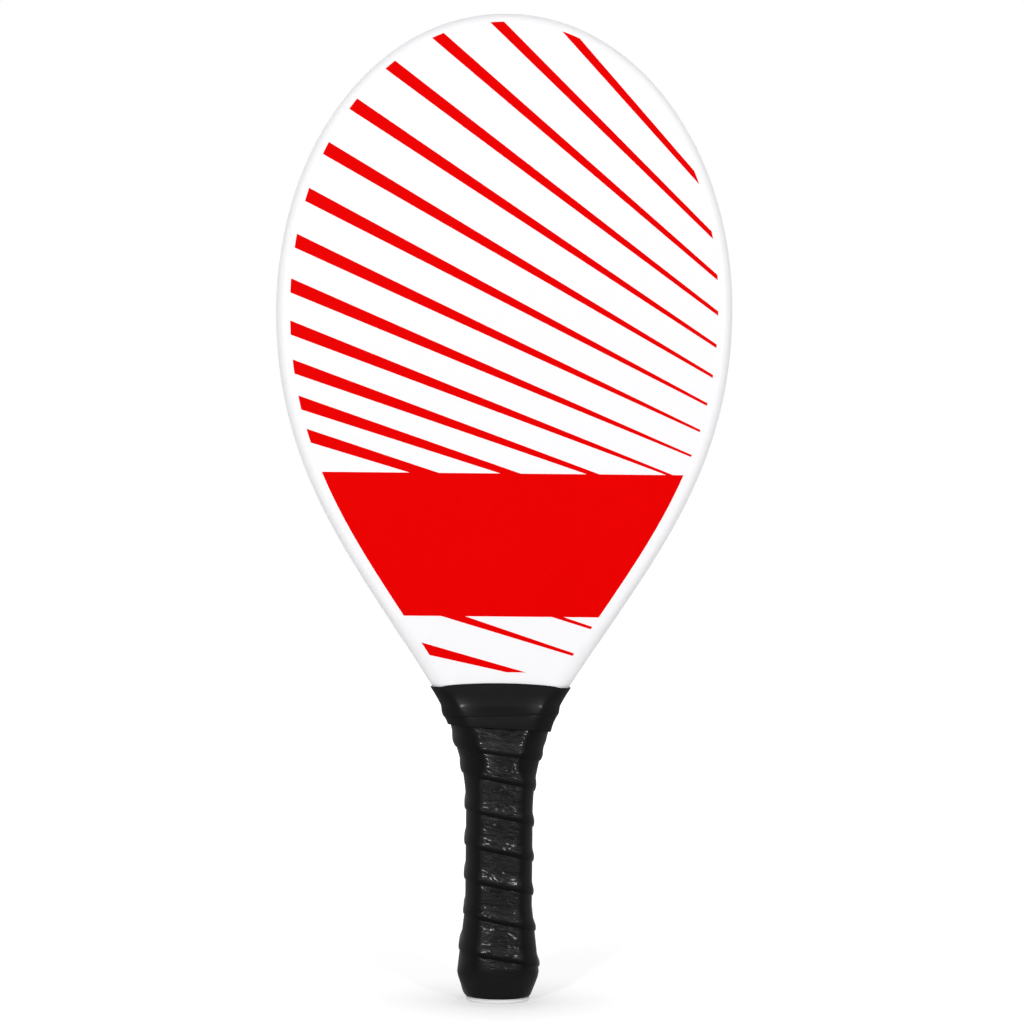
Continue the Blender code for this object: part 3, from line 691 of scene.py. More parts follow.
def crinkled_finish(look):
    """Black crinkled grip tape: creased film with gloss on its ridges and a dull foot, and painted
    sheen in its colour.
    """
    finish = Finish("crinkled_tape", {"IOR": 1.5, "Specular IOR Level": 0.06, "Coat Roughness": 0.17})
    where = finish.strip()
    folds = finish.noise(420.0, 2.0, 0.5, 0.7, where=finish.strip((0.32, 1.0, 1.0), 0.18))
    crease = finish.cells(520.0, "DISTANCE_TO_EDGE", where=finish.strip((0.4, 1.0, 1.0), -0.2))
    grain = finish.noise(2600.0, 3.0, 0.6, where=where)
    patch = finish.noise(110.0, 2.0, where=where)
    from_middle = finish.node("ShaderNodeMath", {"operation": "ABSOLUTE"}, {0: folds * 2.0 - 1.0})
    ridge = (1.0 - from_middle * 2.6).held()
    crease_and_sheen = finish.attribute("crease_and_sheen")
    height = finish.node("ShaderNodeSeparateXYZ", {}, {0: finish.place()}, out="Z")
    # Painted sheen in the colour: paler towards the foot of the butt, and paler on the flats and their
    # fold ridges than on the bevels, with random patches.
    foot = ((0.018 - height) / 0.006).held()
    painted_sheen = (crease_and_sheen.held() * (0.06 + ridge * 0.32 + patch * 0.16) + foot) * 0.13
    # More painted sheen on the side corners, where the tape turns away from view.
    painted_sheen = painted_sheen + finish.attribute("painted_corner_sheen") * (0.65 + patch * 0.6)
    relief = (ridge * 0.6 + (crease * 3.0).held() * 0.35) * crease_and_sheen + grain * 0.02
    finish.set("Coat Weight", ((crease_and_sheen - 0.22) * (0.10 + ridge * 0.40)).held())
    return finish.dress(
        finish.blend(painted_sheen.held(), look.tape, scaled(look.tape, 32.0)),
        0.60 - (crease_and_sheen * 2.2).held() * 0.34 + grain * 0.03,
        finish.bump(relief, 0.85, look.crease_depth),
    )


def stretched_finish(look):
    """Matt black finishing tape: fine lines of stretch along it, dusty patches, and painted sheen on
    the flats and the side corners.
    """
    finish = Finish("stretched_tape", {"IOR": 1.45, "Specular IOR Level": 0.08, "Coat Roughness": 0.24})
    lines = finish.noise(1500.0, 3.0, 0.6, where=finish.strip((0.05, 1.0, 1.0)))
    waves = finish.noise(240.0, 3.0, 0.5, 0.6, where=finish.strip((0.25, 1.0, 1.0)))
    dust = finish.noise(420.0, 4.0, 0.7, where=finish.strip())
    tight_and_sheen = finish.attribute("crease_and_sheen")
    # Painted sheen in the colour: paler on the flats than on the bevels, most at their corners over the
    # grip's end, and paler on the side corners, with random dust and waves.
    painted_sheen = tight_and_sheen.held() * (0.10 + dust * 0.08 + waves * 0.08)
    painted_sheen = painted_sheen + finish.attribute("painted_corner_sheen") * (0.3 + waves * 0.4)
    finish.set("Coat Weight", ((tight_and_sheen - 0.55) * 2.2).held() * (0.25 + dust * 0.5))
    return finish.dress(
        finish.blend(painted_sheen.held(), look.collar, scaled(look.collar, 20.0)),
        0.46 + dust * 0.12,
        finish.bump(lines * 0.4 + waves, 0.35, 0.00030),
    )


def cap_finish():
    """Pale moulded plastic: faint flow marks and a fine spark-eroded grain."""
    finish = Finish("moulded_cap", {"IOR": 1.46})
    flow = finish.noise(90.0, 3.0, 0.5, 0.8, where=finish.place((1.0, 1.0, 3.0)))
    grain = finish.noise(2200.0, 2.0)
    return finish.dress(
        finish.blend(flow, (0.80, 0.80, 0.80), (0.88, 0.88, 0.87)),
        0.40 + grain * 0.15,
        finish.bump(grain, 0.12, 0.0001),
    )


def cushion_finish():
    """Charcoal closed-cell foam with open pores on its skin."""
    finish = Finish("cushion_foam_skin")
    pores = finish.cells(1100.0)
    soil = finish.noise(160.0, 3.0)
    return finish.dress(
        finish.blend((pores * 0.7 + soil * 0.5).held(), (0.03, 0.03, 0.03), (0.10, 0.10, 0.10)),
        0.82 + soil * 0.14,
        finish.bump(pores, 0.5, 0.0002),
    )


def core_finish():
    """Cream rigid foam board: packed beads with darker borders."""
    finish = Finish("bead_foam_board")
    beads = finish.cells(420.0, "DISTANCE_TO_EDGE")
    dust = finish.noise(700.0, 3.0)
    body = (beads * 6.0).held()
    return finish.dress(
        finish.blend(body, (0.60, 0.57, 0.48), (0.80, 0.78, 0.69)),
        0.80 + dust * 0.15,
        finish.bump(body * 0.7 + dust * 0.3, 0.4, 0.0003),
    )


def wood_finish(name, pale, dark):
    """Straight-grained hardwood: long rays, growth rings cut lengthwise and open pores."""
    finish = Finish(name)
    rings = finish.noise(260.0, 3.0, 0.55, 1.2, where=finish.place((1.0, 1.0, 0.06)))
    pores = finish.noise(1900.0, 2.0, where=finish.place((1.0, 1.0, 0.03)))
    stain = finish.noise(30.0, 2.0, where=finish.place((1.0, 1.0, 0.3)))
    tone = ((rings - 0.3) * 1.8 + (stain - 0.5) * 0.5).held()
    return finish.dress(
        finish.blend(tone, dark, pale), 0.55 + pores * 0.25, finish.bump(pores, 0.3, 0.0002)
    )


def wire_finish():
    """Drawn steel wire: fine lines along the staple and a dull patch here and there."""
    finish = Finish("drawn_steel", {"Metallic": 1.0})
    lines = finish.noise(5200.0, 2.0, where=finish.place((0.08, 1.0, 1.0)))
    dull = finish.noise(600.0, 3.0)
    return finish.dress(
        finish.blend(dull, (0.50, 0.50, 0.52), (0.66, 0.66, 0.68)),
        0.24 + lines * 0.22,
        finish.bump(lines, 0.15, 0.00005),
    )


# What a user may change


def size_option(name, description, default, low, high):
    """A length that a user may set, in metres."""
    return bpy.props.FloatProperty(
        name=name, description=description, default=default, min=low, max=high,
        unit="LENGTH", precision=5,
    )


def share_option(name, description, default, high=1.0):
    """A share or strength that a user may set."""
    return bpy.props.FloatProperty(
        name=name, description=description, default=default, min=0.0, max=high, subtype="FACTOR",
    )


def colour_option(name, description, default):
    """A colour that a user may set."""
    return bpy.props.FloatVectorProperty(
        name=name, description=description, default=default, subtype="COLOR"
    )


class BladeLook(bpy.types.PropertyGroup):
    """Sizes and colours of the blade and its print."""

    edge_round: size_option("Edge rounding", "How far the rounded edge reaches in", 0.005, 0.001, 0.009)
    throat_round: size_option("Throat rounding", "The same just above the grip", 0.0093, 0.001, 0.012)
    side_margin: size_option("Side margin", "White margin at the print's sides", 0.0073, 0.003, 0.02)
    top_margin: size_option("Top margin", "White margin at the tip", 0.0048, 0.002, 0.02)
    film: size_option("Ink height", "How far the print stands proud", 0.00004, 0.00001, 0.0002)
    paint: colour_option("Paint", "Colour of the lacquer", (0.932, 0.925, 0.942))
    paint_roughness: share_option("Paint roughness", "Roughness of the lacquer", 0.24)
    ink: colour_option("Ink", "Colour of the print", (0.80, 0.0003, 0.0001))


class GripLook(bpy.types.PropertyGroup):
    """Sizes and colours of the grip."""

    width: size_option("Tape width", "Width of the grip tape", 0.0252, 0.01, 0.04)
    pitch: size_option("Pitch", "Rise of the grip tape in one turn", 0.0174, 0.008, 0.03)
    thickness: size_option("Thickness", "Thickness of the grip tape", 0.0005, 0.0002, 0.001)
    lift: size_option("Lap", "How far a lapped turn stands out", 0.00085, 0.0004, 0.002)
    relief: size_option("Crinkle", "Height of the larger crinkles", 0.00062, 0.0, 0.0008)
    crease_depth: size_option("Crease depth", "Depth of the fine creases", 0.0004, 0.0, 0.001)
    tape: colour_option("Grip", "Colour of the grip tape", (0.0016, 0.0016, 0.0016))
    collar: colour_option("Collar", "Colour of the finishing tape", (0.0018, 0.0018, 0.0018))


class StageLook(bpy.types.PropertyGroup):
    """Floor, lamps and camera."""

    floor: colour_option("Floor", "Colour of the floor", (0.90, 0.90, 0.90))
    bounce: share_option("Bounce", "Share of the floor's colour thrown back at the paddle", 0.74)
    sky: share_option("Ambient light", "Strength of the even light from all round", 0.86)
    overhead: share_option("Overhead dimming", "How much weaker that light is from above", 0.62)
    front: share_option("Front dimming", "How much weaker that light is from the front", 0.48, 0.5)
    lamps: share_option("Lamps", "Scales the soft lamps", 1.13, 4.0)
    distance: size_option("Camera distance", "From the camera to the paddle", 1.5, 0.5, 5.0)
    roll: bpy.props.FloatProperty(
        name="Camera roll", description="Turn of the camera about its own axis",
        default=-math.radians(0.55), subtype="ANGLE",
    )


# Operators, one for each piece or group of like pieces


class PADDLE_OT_painted_blade(bpy.types.Operator):
    """Make the seamless painted blade: both faces and the rounded edge as one shell"""

    bl_idname = "paddle.painted_blade"
    bl_label = "Painted blade"

    def shell(self, look):
        """Both faces and the edge as one skin: rings from the front's middle round to the back's.

        The edge's rings go round half an ellipse, moved in from the outline by its reach times 1
        less the cosine of the angle. The faces' rings are shares of the way from the middle to the
        rim. Below the blade the shell thins out under the collar.
        """
        right = EDGE[EDGE[:, 1] > SHELL_BOTTOM]
        throat = look.throat_round - look.edge_round
        reach = look.edge_round + throat * ease((THROAT_ROUND_TOP - right[:, 1]) / THROAT_ROUND_FADE)
        centre = np.array([0.0, WIDEST])
        rim = inset_ring(right, reach + 0.0004)
        face = [centre + (rim - centre) * share for share in (0.12, 0.4, 0.7, 0.95, 1.0)]
        rows = [(ring, -BLADE_HALF) for ring in face]
        for angle in np.linspace(-0.5 * math.pi, 0.5 * math.pi, 25):
            ring = inset_ring(right, reach * (1.0 - math.cos(angle)))
            rows.append((ring, BLADE_HALF * math.sin(angle)))
        rows.extend((ring, BLADE_HALF) for ring in reversed(face))
        rings = np.stack([np.insert(ring, 1, y, axis=1) for ring, y in rows])
        below, length = THINNING
        rings[:, :, 1] *= 1.0 - SHELL_THINNED * ease((BLADE_START - below - rings[:, :, 2]) / length)
        return domed(rings, (0.0, -BLADE_HALF, WIDEST), (0.0, BLADE_HALF, WIDEST))

    def tails(self):
        """The two laminates' narrow ends, which run down the handle between spine and scales."""
        z = handle_heights(12, 90, TAIL_TOP)
        share = np.clip((BLADE_HALF - side_height(z)) / (half_depth(z) - side_height(z)), 0.0, 1.0)
        margin = bevel_reach(z) * share + CLEARANCE + TAIL_REBATE * (z <= CAP_TOP)
        tail = grid_over(half_width(z) - margin, z, 9)
        return [slab(tail, -BLADE_HALF, -SKIN_INNER), slab(tail, SKIN_INNER, BLADE_HALF)]

    def execute(self, context):
        look = context.scene.paddle_blade
        shape = joined([self.shell(look), *self.tails()])
        nodes = ("rim_band", "front_skin", "back_skin")
        piece = add_piece("painted_blade", shape, lacquer_finish(look), nodes)
        piece.data.set_sharp_from_angle(angle=math.radians(50))
        return {"FINISHED"}


# Stripes of each fan, in shares of their field's height: at a station on the left and one on the
# right, a first value and a step down that changes by a ratio from stripe to stripe
FAN_STATION = 0.72 * BLADE_HALF_WIDTH
UPPER_FAN = {
    "count": 13,
    "left": (1.505, 0.2002, 0.9015),
    "right": (0.708, 0.0983, 0.9425),
    "left_width": (0.0471, 0.0040, 0.84),
    "right_width": (0.0190, 0.0021, 0.906),
}
LOWER_FAN = {
    "count": 3,
    "left": (2.2584, 0.5993, 1.43),
    "right": (0.3858, 0.5768, 0.80),
    "left_width": (0.1573, -0.0562, 1.4),
    "right_width": (0.0225, 0.0300, 2.6),
}
STRIPE_COUNT = UPPER_FAN["count"] + LOWER_FAN["count"]
INK_ROOT = 0.0001


def march(rule, index):
    """First value less steps that change by a steady ratio."""
    first, step, ratio = rule
    return first - step * (1 - ratio**index) / (1 - ratio)


class PADDLE_OT_face_print(bpy.types.Operator):
    """Make the print on both faces: a plain panel and the fan of tapered stripes behind it"""

    bl_idname = "paddle.face_print"
    bl_label = "Face print"

    def field_edge(self, look):
        """Right-hand edge of the printed field: the outline moved in, less where it faces up."""
        normal = inward(EDGE)
        spread = look.top_margin - look.side_margin
        inset = look.side_margin + spread * np.maximum(-normal[:, 1], 0.0)
        return EDGE + normal * inset[:, None]

    def stripe(self, edge, low, high, fan, index):
        """Grid over one stripe: lines at even shares between its two edges, each cut to the field.

        A line's height is straight in x. Of 4001 stations across the blade, the first and last
        inside the field are found, and moved out by a straight-line share to the field's border.
        """
        keys = ("left", "right", "left_width", "right_width")
        left, right, left_width, right_width = ((high - low) * march(fan[key], index) for key in keys)
        x = np.linspace(-BLADE_HALF_WIDTH, BLADE_HALF_WIDTH, 4001)
        share = (x + FAN_STATION) / (2 * FAN_STATION)
        middle = low + left + (right - left) * share
        width = np.maximum(left_width + (right_width - left_width) * share, LEAST_WIDTH)
        rows = []
        for v in np.linspace(-0.5, 0.5, 7):
            z = middle + width * v
            field = np.interp(z, edge[:, 1], edge[:, 0], left=0.0, right=0.0)
            spare = np.minimum(field - np.abs(x), np.minimum(z - low, high - z))
            inside = np.flatnonzero(spare > 0.0)
            if len(inside) < 2:
                raise RuntimeError(f"stripe {index} leaves its field")
            first, last = inside[0], inside[-1]
            step = x[1] - x[0]
            before = step * spare[first] / max(spare[first] - spare[first - 1], 1e-9)
            past = step * spare[last] / max(spare[last] - spare[last + 1], 1e-9)
            at = np.linspace(x[first] - before, x[last] + past, 90)
            rows.append(np.stack([at, np.interp(at, x, z)], axis=1))
        return np.stack(rows)

    def execute(self, context):
        look = context.scene.paddle_blade
        edge = self.field_edge(look)
        z = np.linspace(PANEL_BOTTOM, PANEL_TOP, 60)
        grids = [grid_over(np.interp(z, edge[:, 1], edge[:, 0]), z, 60)]
        for fan, low, high in ((UPPER_FAN, PANEL_TOP, TIP), (LOWER_FAN, PRINT_BOTTOM, PANEL_BOTTOM)):
            grids.extend(self.stripe(edge, low, high, fan, index) for index in range(fan["count"]))
        finish = print_finish(look)
        for name, side in (("front", -1.0), ("back", 1.0)):
            outside = side * (BLADE_HALF + look.film)
            inside = side * (BLADE_HALF - INK_ROOT)
            turned = [grid * np.array([-side, 1.0]) for grid in grids]
            shape = joined([slab(grid, outside, inside) for grid in turned])
            nodes = [f"{name}_stripe_{number + 1:02d}" for number in range(STRIPE_COUNT)]
            nodes = [f"{name}_panel", *nodes]
            add_piece(f"{name}_print", shape, finish, nodes, smooth=False)
        return {"FINISHED"}


class PADDLE_OT_grip_winding(bpy.types.Operator):
    """Wind the crinkled grip tape up the handle, each turn lapped over the last"""

    bl_idname = "paddle.grip_winding"
    bl_label = "Grip winding"

    def execute(self, context):
        look = context.scene.paddle_grip
        first_edge = GRIP_BOTTOM + 0.0044 - look.width
        turns = (GRIP_TOP - 0.002 - first_edge) / look.pitch
        foot_round = 0.0014

        def relief(along, across):
            """Crinkles of the tape, in metres."""
            return look.relief * crinkle(along, across)

        def crease_and_sheen(theta, z, across):
            """Strong above each lap's edge and near the collar, faint on bevels, none at the foot and
            just above each edge.
            Besides the crinkles' height it sets painted sheen, flats paler than bevels, and a painted
            shade line above each edge.
            """
            strength = 0.6 + 0.4 * hump(across, 0.0046, 0.0022)
            strength = strength + 0.1 * hump(across, look.pitch - 0.0018, 0.0014)
            strength = strength * ramp(across, 0.0008, 0.0022) * ramp(z, CAP_EDGE, 0.0045)
            near_collar = 1.0 + 0.4 * ramp(z, 0.1180, 0.0040)
            return strength * near_collar * (0.15 + 0.85 * on_flat(theta, z, bevel_weight=1.04))

        def base(z):
            """Over cushion and wood, rounded in at the foot of the butt."""
            return grip_base(z) - 0.0008 * (1.0 - quarter_round(z - GRIP_BOTTOM, foot_round))

        def edge(t, theta):
            """Lower edge: level at the foot, then a climb, closer near the top, and a tapered end."""
            closer = 0.0015 * ramp(t, 3.5, 2.5) + 0.0055 * ramp(t, 7.5, 1.1)
            climb = first_edge + look.pitch * t - closer - 0.0006 * np.sin(theta)
            tapered = 0.0090 * ramp(t, turns - 0.32, 0.32)
            return GRIP_BOTTOM + (climb - GRIP_BOTTOM) * ramp(t, 1.50, 0.55) + tapered

        tape = {
            "start": 0.2035, "from": 0.50, "lap_start": 1.50, "width": look.width, "dip": 0.0,
            "bottom": GRIP_BOTTOM, "top": GRIP_TOP, "thickness": look.thickness, "nose": 0.0006,
            "lift": look.lift, "swell": 0.0022, "ramp": 0.0048, "lip": 0.0020, "sink": 0.0,
            "girth": 0.1020, "base": base, "edge": edge, "relief": relief, "crease_and_sheen": crease_and_sheen,
        }
        last = look.width - 0.0002
        inner = [0.0003, 0.0070, 0.0086, 0.0100, 0.0120, look.pitch, last - 0.0002]
        tape["inner"] = np.array(inner) / look.width
        shown = [0.0, 0.00008, 0.0002, 0.0004, *np.linspace(0.0007, look.pitch + 0.0006, 38)]
        hidden = [look.pitch + 0.0020, look.pitch + 0.0045, last, look.width]
        across = np.array([*shown, *hidden]) / look.width
        shape = strip_body(turns, 196, across, tape)
        add_piece("grip_winding", shape, crinkled_finish(look), ["overgrip_tape"])
        return {"FINISHED"}


class PADDLE_OT_finishing_winding(bpy.types.Operator):
    """Wind the smooth finishing tape over the grip tape's upper end"""

    bl_idname = "paddle.finishing_winding"
    bl_label = "Finishing winding"

    def execute(self, context):
        look = context.scene.paddle_grip

        def relief(along, across):
            """Slow waves along the tape, and small puckers near its lower edge."""
            slow = 0.00007 * ripple(along / 0.016, across / 0.004, 31)
            pucker = 0.00012 * ripple(along / 0.0022, across / 0.006, 37)
            return slow + pucker * ease((0.004 - across) / 0.004)

        def crease_and_sheen(theta, z, across):
            """How tight, and how much painted sheen: most at the flats' corners over the grip's end, a
            painted highlight there, and least at its edge, a painted shade line.
            """
            near_corner = on_flat(theta, z, 16.0)
            spot = 4.0 * near_corner * (1.0 - near_corner)
            spot = spot * hump(z, GRIP_TOP + 0.0060, 0.0035)
            from_edge = 0.3 + 0.7 * ramp(across, 0.0003, 0.0008)
            return on_flat(theta, z) * (0.55 + 0.45 * spot) * from_edge

        def base(z):
            """Over the grip tape's end, then down to the wood and on to the blade's face."""
            over_grip = look.thickness + look.lift + 0.0001
            wood = grip_base(z) - 0.00027 * ramp(z, 0.140, 0.012)
            return wood + over_grip * ease((GRIP_TOP + 0.0072 - z) / 0.0060)

        def edge(t, theta):
            """Lower edge: up for most of the first turn, then level with one rise on the right."""
            climb = 0.0078 * np.minimum(t - 0.815, 0.0)
            rise = 0.0033 * ramp(t, 0.99, 0.12) * (1.0 - 0.6 * ramp(t, 1.15, 0.4))
            return GRIP_TOP - 0.0008 + climb + rise * (1.0 - ramp(t, 1.65, 0.2))

        tape = {
            "start": 0.165, "from": 0.0, "lap_start": 0.90, "width": 0.0200, "dip": 0.0021,
            "bottom": 0.0, "top": BLADE_START + 0.0004, "thickness": 0.00028, "nose": 0.0002,
            "lift": 0.00034, "swell": 0.0150, "ramp": 0.0010, "lip": 0.0004, "sink": 0.0009,
            "girth": 0.13, "base": base, "edge": edge, "relief": relief, "crease_and_sheen": crease_and_sheen,
            "inner": np.linspace(0.02, 0.98, 14),
        }
        across = [0.0, 0.004, 0.012, *np.linspace(0.025, 0.975, 36), 0.988, 0.996, 1.0]
        shape = strip_body(1.9, 300, across, tape)
        finish = stretched_finish(look)
        add_piece("finishing_winding", shape, finish, ["finishing_tape"])
        return {"FINISHED"}


class PADDLE_OT_butt_cap(bpy.types.Operator):
    """Make the moulded butt cap: a flared cup with a proud round-edged end disc"""

    bl_idname = "paddle.butt_cap"
    bl_label = "Butt cap"

    def execute(self, context):
        bend = np.linspace(0.0, 0.5 * math.pi, 6)
        lip = 0.0008
        corners = []
        for height, radius, way in ((0.0, 0.0004, 1.0), (DISC, 0.0002, -1.0)):
            turn = bend if way > 0.0 else 0.5 * math.pi - bend
            z = height + way * radius * (1.0 - np.cos(turn))
            corners.append(np.stack([z, lip - radius * (1.0 - np.sin(turn)), np.full(6, DISC)], axis=1))
        z = np.linspace(DISC, CAP_TOP, 24)
        skirt = np.stack([z, np.zeros(24), z], axis=1)
        z = np.linspace(CAP_TOP, CAP_FLOOR, 6)
        wall = np.stack([z, np.full(6, -CAP_WALL), np.full(6, CAP_TOP)], axis=1)
        z, offset, level = np.concatenate([*corners, skirt, wall]).T[:, :, None]
        theta = np.linspace(0.0, 2.0 * math.pi, 193)[None, :-1]
        rings = handle_point(theta, z, offset, level)
        shape = domed(rings, (0.0, 0.0, 0.0), (0.0, 0.0, CAP_FLOOR))
        piece = add_piece("butt_plug", shape, cap_finish(), ["butt_cap"])
        piece.data.set_sharp_from_angle(angle=math.radians(40))
        return {"FINISHED"}


class PADDLE_OT_inner_parts(bpy.types.Operator):
    """Make the cushion, the wooden scales and spine, and finish the foam core and the staples"""

    bl_idname = "paddle.inner_parts"
    bl_label = "Inner parts"

    def tube(self, low, high, inside, outside):
        """Closed tube round the handle: the outer face up, then the inner face down."""
        z = np.concatenate([np.linspace(low, high, 60), np.linspace(high, low, 60)])[:, None]
        offset = np.repeat([outside, inside], 60)[:, None]
        theta = np.linspace(0.0, 2.0 * math.pi, 145)[None, :-1]
        points = handle_point(theta, z, offset).reshape(-1, 3)
        return points, faces_out(points, [grid_faces(120, 144, closed_rows=True, closed_columns=True)])

    def spine(self):
        """Board from the butt to a round-ended tongue: a ring of eight points at each height.

        In the handle the ring is the octagon cut off at the board's half thickness. Past the
        shoulder it is a plain rectangle, whose half width follows a circle at the round end.
        """
        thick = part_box("handle_spine")[1].y
        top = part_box("handle_spine")[1].z
        z = handle_heights(8, 80, SHOULDER)
        wide = half_width(z) - REBATE * (z <= CAP_TOP)
        side = np.minimum(side_height(z), thick - EDGE_LAND)
        cut = np.clip((thick - side_height(z)) / (half_depth(z) - side_height(z)), 0.02, 1.0)
        bend = np.linspace(0.0, 0.5 * math.pi - 0.05, 24)
        tongue = HANDLE_HALF_WIDTH * np.cos(bend)
        rise = top - HANDLE_HALF_WIDTH + HANDLE_HALF_WIDTH * np.sin(bend)
        bevel = np.concatenate([bevel_reach(z) * cut, np.full(25, EDGE_LAND)])
        side = np.concatenate([side, np.full(25, thick - EDGE_LAND)])
        wide = np.concatenate([wide, [HANDLE_HALF_WIDTH], tongue])
        z = np.concatenate([z, [SHOULDER + 0.00005], rise])
        deep = np.full_like(z, thick)
        xs = [wide - bevel, wide, wide, wide - bevel, bevel - wide, -wide, -wide, bevel - wide]
        ys = [deep, side, -side, -deep, -deep, -side, side, deep]
        return board(xs, ys, z)

    def scale(self, side):
        """Bevelled scale: the octagon's outer part above the laminate, swept up the handle.

        At each height the outline runs from one edge of the flat underside over bevel, face and
        bevel to the other, by the bevel's corners, which is a closed ring of six points.
        """
        z = handle_heights(8, 70, SCALE_TOP)
        base = np.full_like(z, BLADE_HALF + EDGE_LAND)
        drawn = REBATE * (z <= CAP_TOP)
        deep = np.maximum(half_depth(z) - drawn, base + 0.00015)
        low = side_height(z)
        foot = np.minimum(np.maximum(low, base) + 0.00005, deep)
        corner = half_width(z) - drawn - bevel_reach(z)
        low_x = corner + bevel_reach(z) * (1.0 - np.clip((base - low) / (deep - low), 0.0, 0.97))
        xs = [low_x, low_x, corner, -corner, -low_x, -low_x]
        ys = [side * y for y in (base, foot, deep, deep, foot, base)]
        return board(xs, ys, z)

    def execute(self, context):
        tube = self.tube(SLEEVE_BOTTOM, SLEEVE_TOP, *CUSHION_OFFSETS)
        skin = cushion_finish()
        cushion = add_piece("grip_cushion", tube, skin, ["cushion_sleeve"])
        scales = wood_finish("scale_wood", (0.66, 0.46, 0.27), (0.42, 0.25, 0.12))
        for name, side in (("front", -1.0), ("back", 1.0)):
            nodes = [f"{name}_cheek"]
            add_piece(f"{name}_scale", self.scale(side), scales, nodes, smooth=False)
        boards = wood_finish("spine_wood", (0.72, 0.55, 0.34), (0.52, 0.35, 0.19))
        add_piece("spine_board", self.spine(), boards, ["handle_spine"], smooth=False)
        steel = wire_finish()
        finishes = {"foam_core": core_finish(), "front_cap_staple": steel, "back_cap_staple": steel}
        for name, finish in finishes.items():
            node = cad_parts[name]
            for place in node.material_slots:
                place.material = finish
        return {"FINISHED"}


# Each lamp's name, place, width and height, and power, with the point that they are turned to
LAMPS = (
    ("front_left_lamp", (-0.50, -1.72, 0.58), (0.12, 0.22), 9.7),
    ("front_right_lamp", (0.67, -1.65, 0.58), (0.11, 0.20), 6.4),
    ("rear_lamp", (0.0, 1.9, 0.9), (1.6, 0.8), 2.0),
)
LAMP_AIM = (0.0, 0.0, 0.22)

# Camera: sensor in millimetres, what the picture's width spans at the paddle, and its place
SENSOR = 36.0
PICTURE_WIDTH = 1024 * 0.000487
CAMERA_ACROSS = 0.00472
CAMERA_HEIGHT = 0.23745


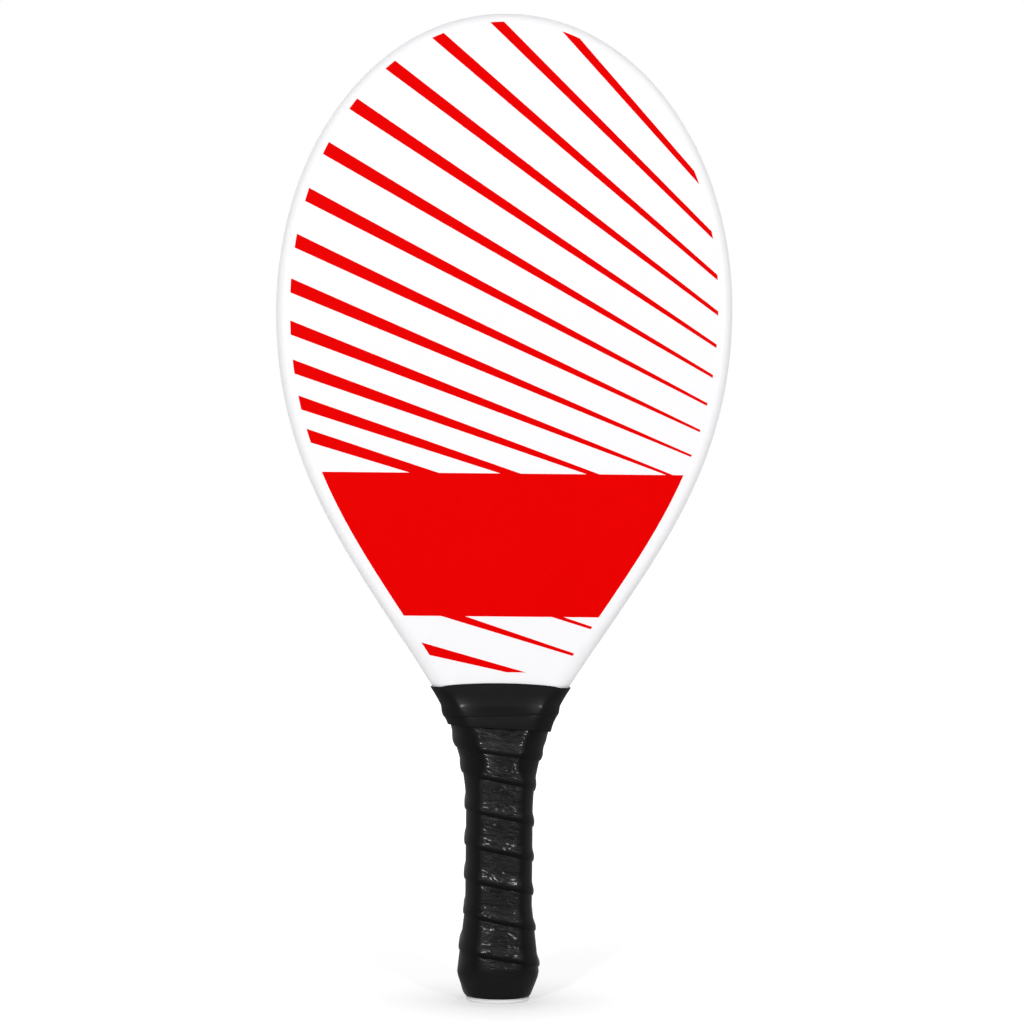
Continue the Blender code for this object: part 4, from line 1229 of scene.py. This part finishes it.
class PADDLE_OT_stage(bpy.types.Operator):
    """Make the pale floor, the white surround, the soft lamps and the camera"""

    bl_idname = "paddle.stage"
    bl_label = "Stage"

    def lamp(self, context, name, place, size, power):
        """Soft area lamp turned to the middle of the paddle."""
        data = bpy.data.lights.new(name, "AREA")
        data.shape = "RECTANGLE"
        data.size, data.size_y = size
        data.energy = power * context.scene.paddle_stage.lamps
        lamp = linked(name, data)
        ahead = np.array(LAMP_AIM) - np.array(place)
        flat = math.hypot(ahead[0], ahead[1])
        lamp.location = place
        lamp.rotation_euler = (math.atan2(flat, -ahead[2]), 0.0, math.atan2(-ahead[0], ahead[1]))

    def floor(self, context):
        """Pale floor: a flat grid, which shows white where no shadow falls, with a painted shadow in
        its glow round the paddle's foot.
        """
        look = context.scene.paddle_stage
        span = np.linspace(-4.0, 4.0, 9)
        x, y = np.meshgrid(span, span)
        points = np.stack([x, y, np.full_like(x, -0.0001)], axis=-1).reshape(-1, 3)
        mesh = bpy.data.meshes.new("studio_floor")
        mesh.from_pydata(points.tolist(), [], grid_faces(9, 9).tolist())
        finish = Finish("floor_paper", {"Roughness": 0.9, "Specular IOR Level": 0.1})
        fibre = finish.noise(300.0, 3.0)
        path = finish.seen_directly()
        seen = (path * (0.985 + 0.015 * fibre)).held()
        finish.set("Base Color", finish.blend(seen, scaled(look.floor, look.bounce), look.floor))
        length = {"operation": "LENGTH"}
        near = finish.node("ShaderNodeVectorMath", length, {0: finish.place()}, out=1)
        # The glow is dimmer near the paddle's foot, a painted shadow round it, and rises far off so the
        # floor shows white.
        glow_with_painted_shadow = 0.30 + 0.10 * ((near - 0.02) / 0.05).held() + 0.25 * ((near - 0.15) / 0.6).held()
        finish.set("Emission Color", finish.blend(path * glow_with_painted_shadow, (0.0, 0.0, 0.0), (1.0, 1.0, 1.0)))
        finish.set("Emission Strength", 1.0)
        mesh.materials.append(finish.material)
        floor = linked("studio_floor", mesh)

    def surround(self, context):
        """World: even light, less from above and the front, and white where it is seen directly."""
        look = context.scene.paddle_stage
        world = bpy.data.worlds.new("white_surround")
        world.use_nodes = True
        sheet = Sheet(world.node_tree)
        direction = sheet.node("ShaderNodeTexCoord", out="Generated")
        up, behind = (sheet.node("ShaderNodeSeparateXYZ", {}, {0: direction}, out=key) for key in "ZY")
        dimmed = look.overhead * up.held() + look.front * (behind * -1.0).held()
        light = look.sky * (1.15 - dimmed)
        seen = sheet.seen_directly()
        background = world.node_tree.nodes["Background"]
        background.inputs["Color"].default_value = (1.0, 1.0, 1.0, 1.0)
        world.node_tree.links.new((light + seen * (1.0 - light)).socket, background.inputs["Strength"])
        context.scene.world = world

    def execute(self, context):
        look = context.scene.paddle_stage
        self.floor(context)
        self.surround(context)
        for name, place, size, power in LAMPS:
            self.lamp(context, name, place, size, power)
        data = bpy.data.cameras.new("camera")
        data.sensor_width = SENSOR
        data.lens = SENSOR * look.distance / PICTURE_WIDTH
        data.clip_end = 50.0
        camera = linked("camera", data)
        camera.location = (CAMERA_ACROSS, -look.distance, CAMERA_HEIGHT)
        camera.rotation_euler = (0.5 * math.pi, look.roll, 0.0)
        context.scene.camera = camera
        context.scene.view_settings.view_transform = "Standard"
        return {"FINISHED"}


class VIEW3D_PT_paddle(bpy.types.Panel):
    """Lists the paddle's pieces, sizes and colours"""

    bl_idname = "VIEW3D_PT_paddle"
    bl_label = "Frescobol paddle"
    bl_space_type = "VIEW_3D"
    bl_region_type = "UI"
    bl_category = "Paddle"

    def draw(self, context):
        for group in ("paddle_blade", "paddle_grip", "paddle_stage"):
            box = self.layout.box()
            look = getattr(context.scene, group)
            for key in look.bl_rna.properties.keys():
                if key not in {"rna_type", "name"}:
                    box.prop(look, key)
        for operator in OPERATORS:
            self.layout.operator(operator.bl_idname)


GROUPS = {"paddle_blade": BladeLook, "paddle_grip": GripLook, "paddle_stage": StageLook}
OPERATORS = (
    PADDLE_OT_painted_blade,
    PADDLE_OT_face_print,
    PADDLE_OT_grip_winding,
    PADDLE_OT_finishing_winding,
    PADDLE_OT_butt_cap,
    PADDLE_OT_inner_parts,
    PADDLE_OT_stage,
)


def register():
    """Register the groups, the operators and the panel."""
    for name, group in GROUPS.items():
        bpy.utils.register_class(group)
        setattr(bpy.types.Scene, name, bpy.props.PointerProperty(type=group))
    for item in (*OPERATORS, VIEW3D_PT_paddle):
        bpy.utils.register_class(item)


def unregister():
    """Take out what register put in."""
    for item in (VIEW3D_PT_paddle, *reversed(OPERATORS)):
        bpy.utils.unregister_class(item)
    for name, group in GROUPS.items():
        delattr(bpy.types.Scene, name)
        bpy.utils.unregister_class(group)


def main():
    """Make every piece and the stage in order."""
    register()
    bpy.ops.paddle.painted_blade()
    bpy.ops.paddle.face_print()
    bpy.ops.paddle.grip_winding()
    bpy.ops.paddle.finishing_winding()
    bpy.ops.paddle.butt_cap()
    bpy.ops.paddle.inner_parts()
    bpy.ops.paddle.stage()


if __name__ == "__main__":
    main()
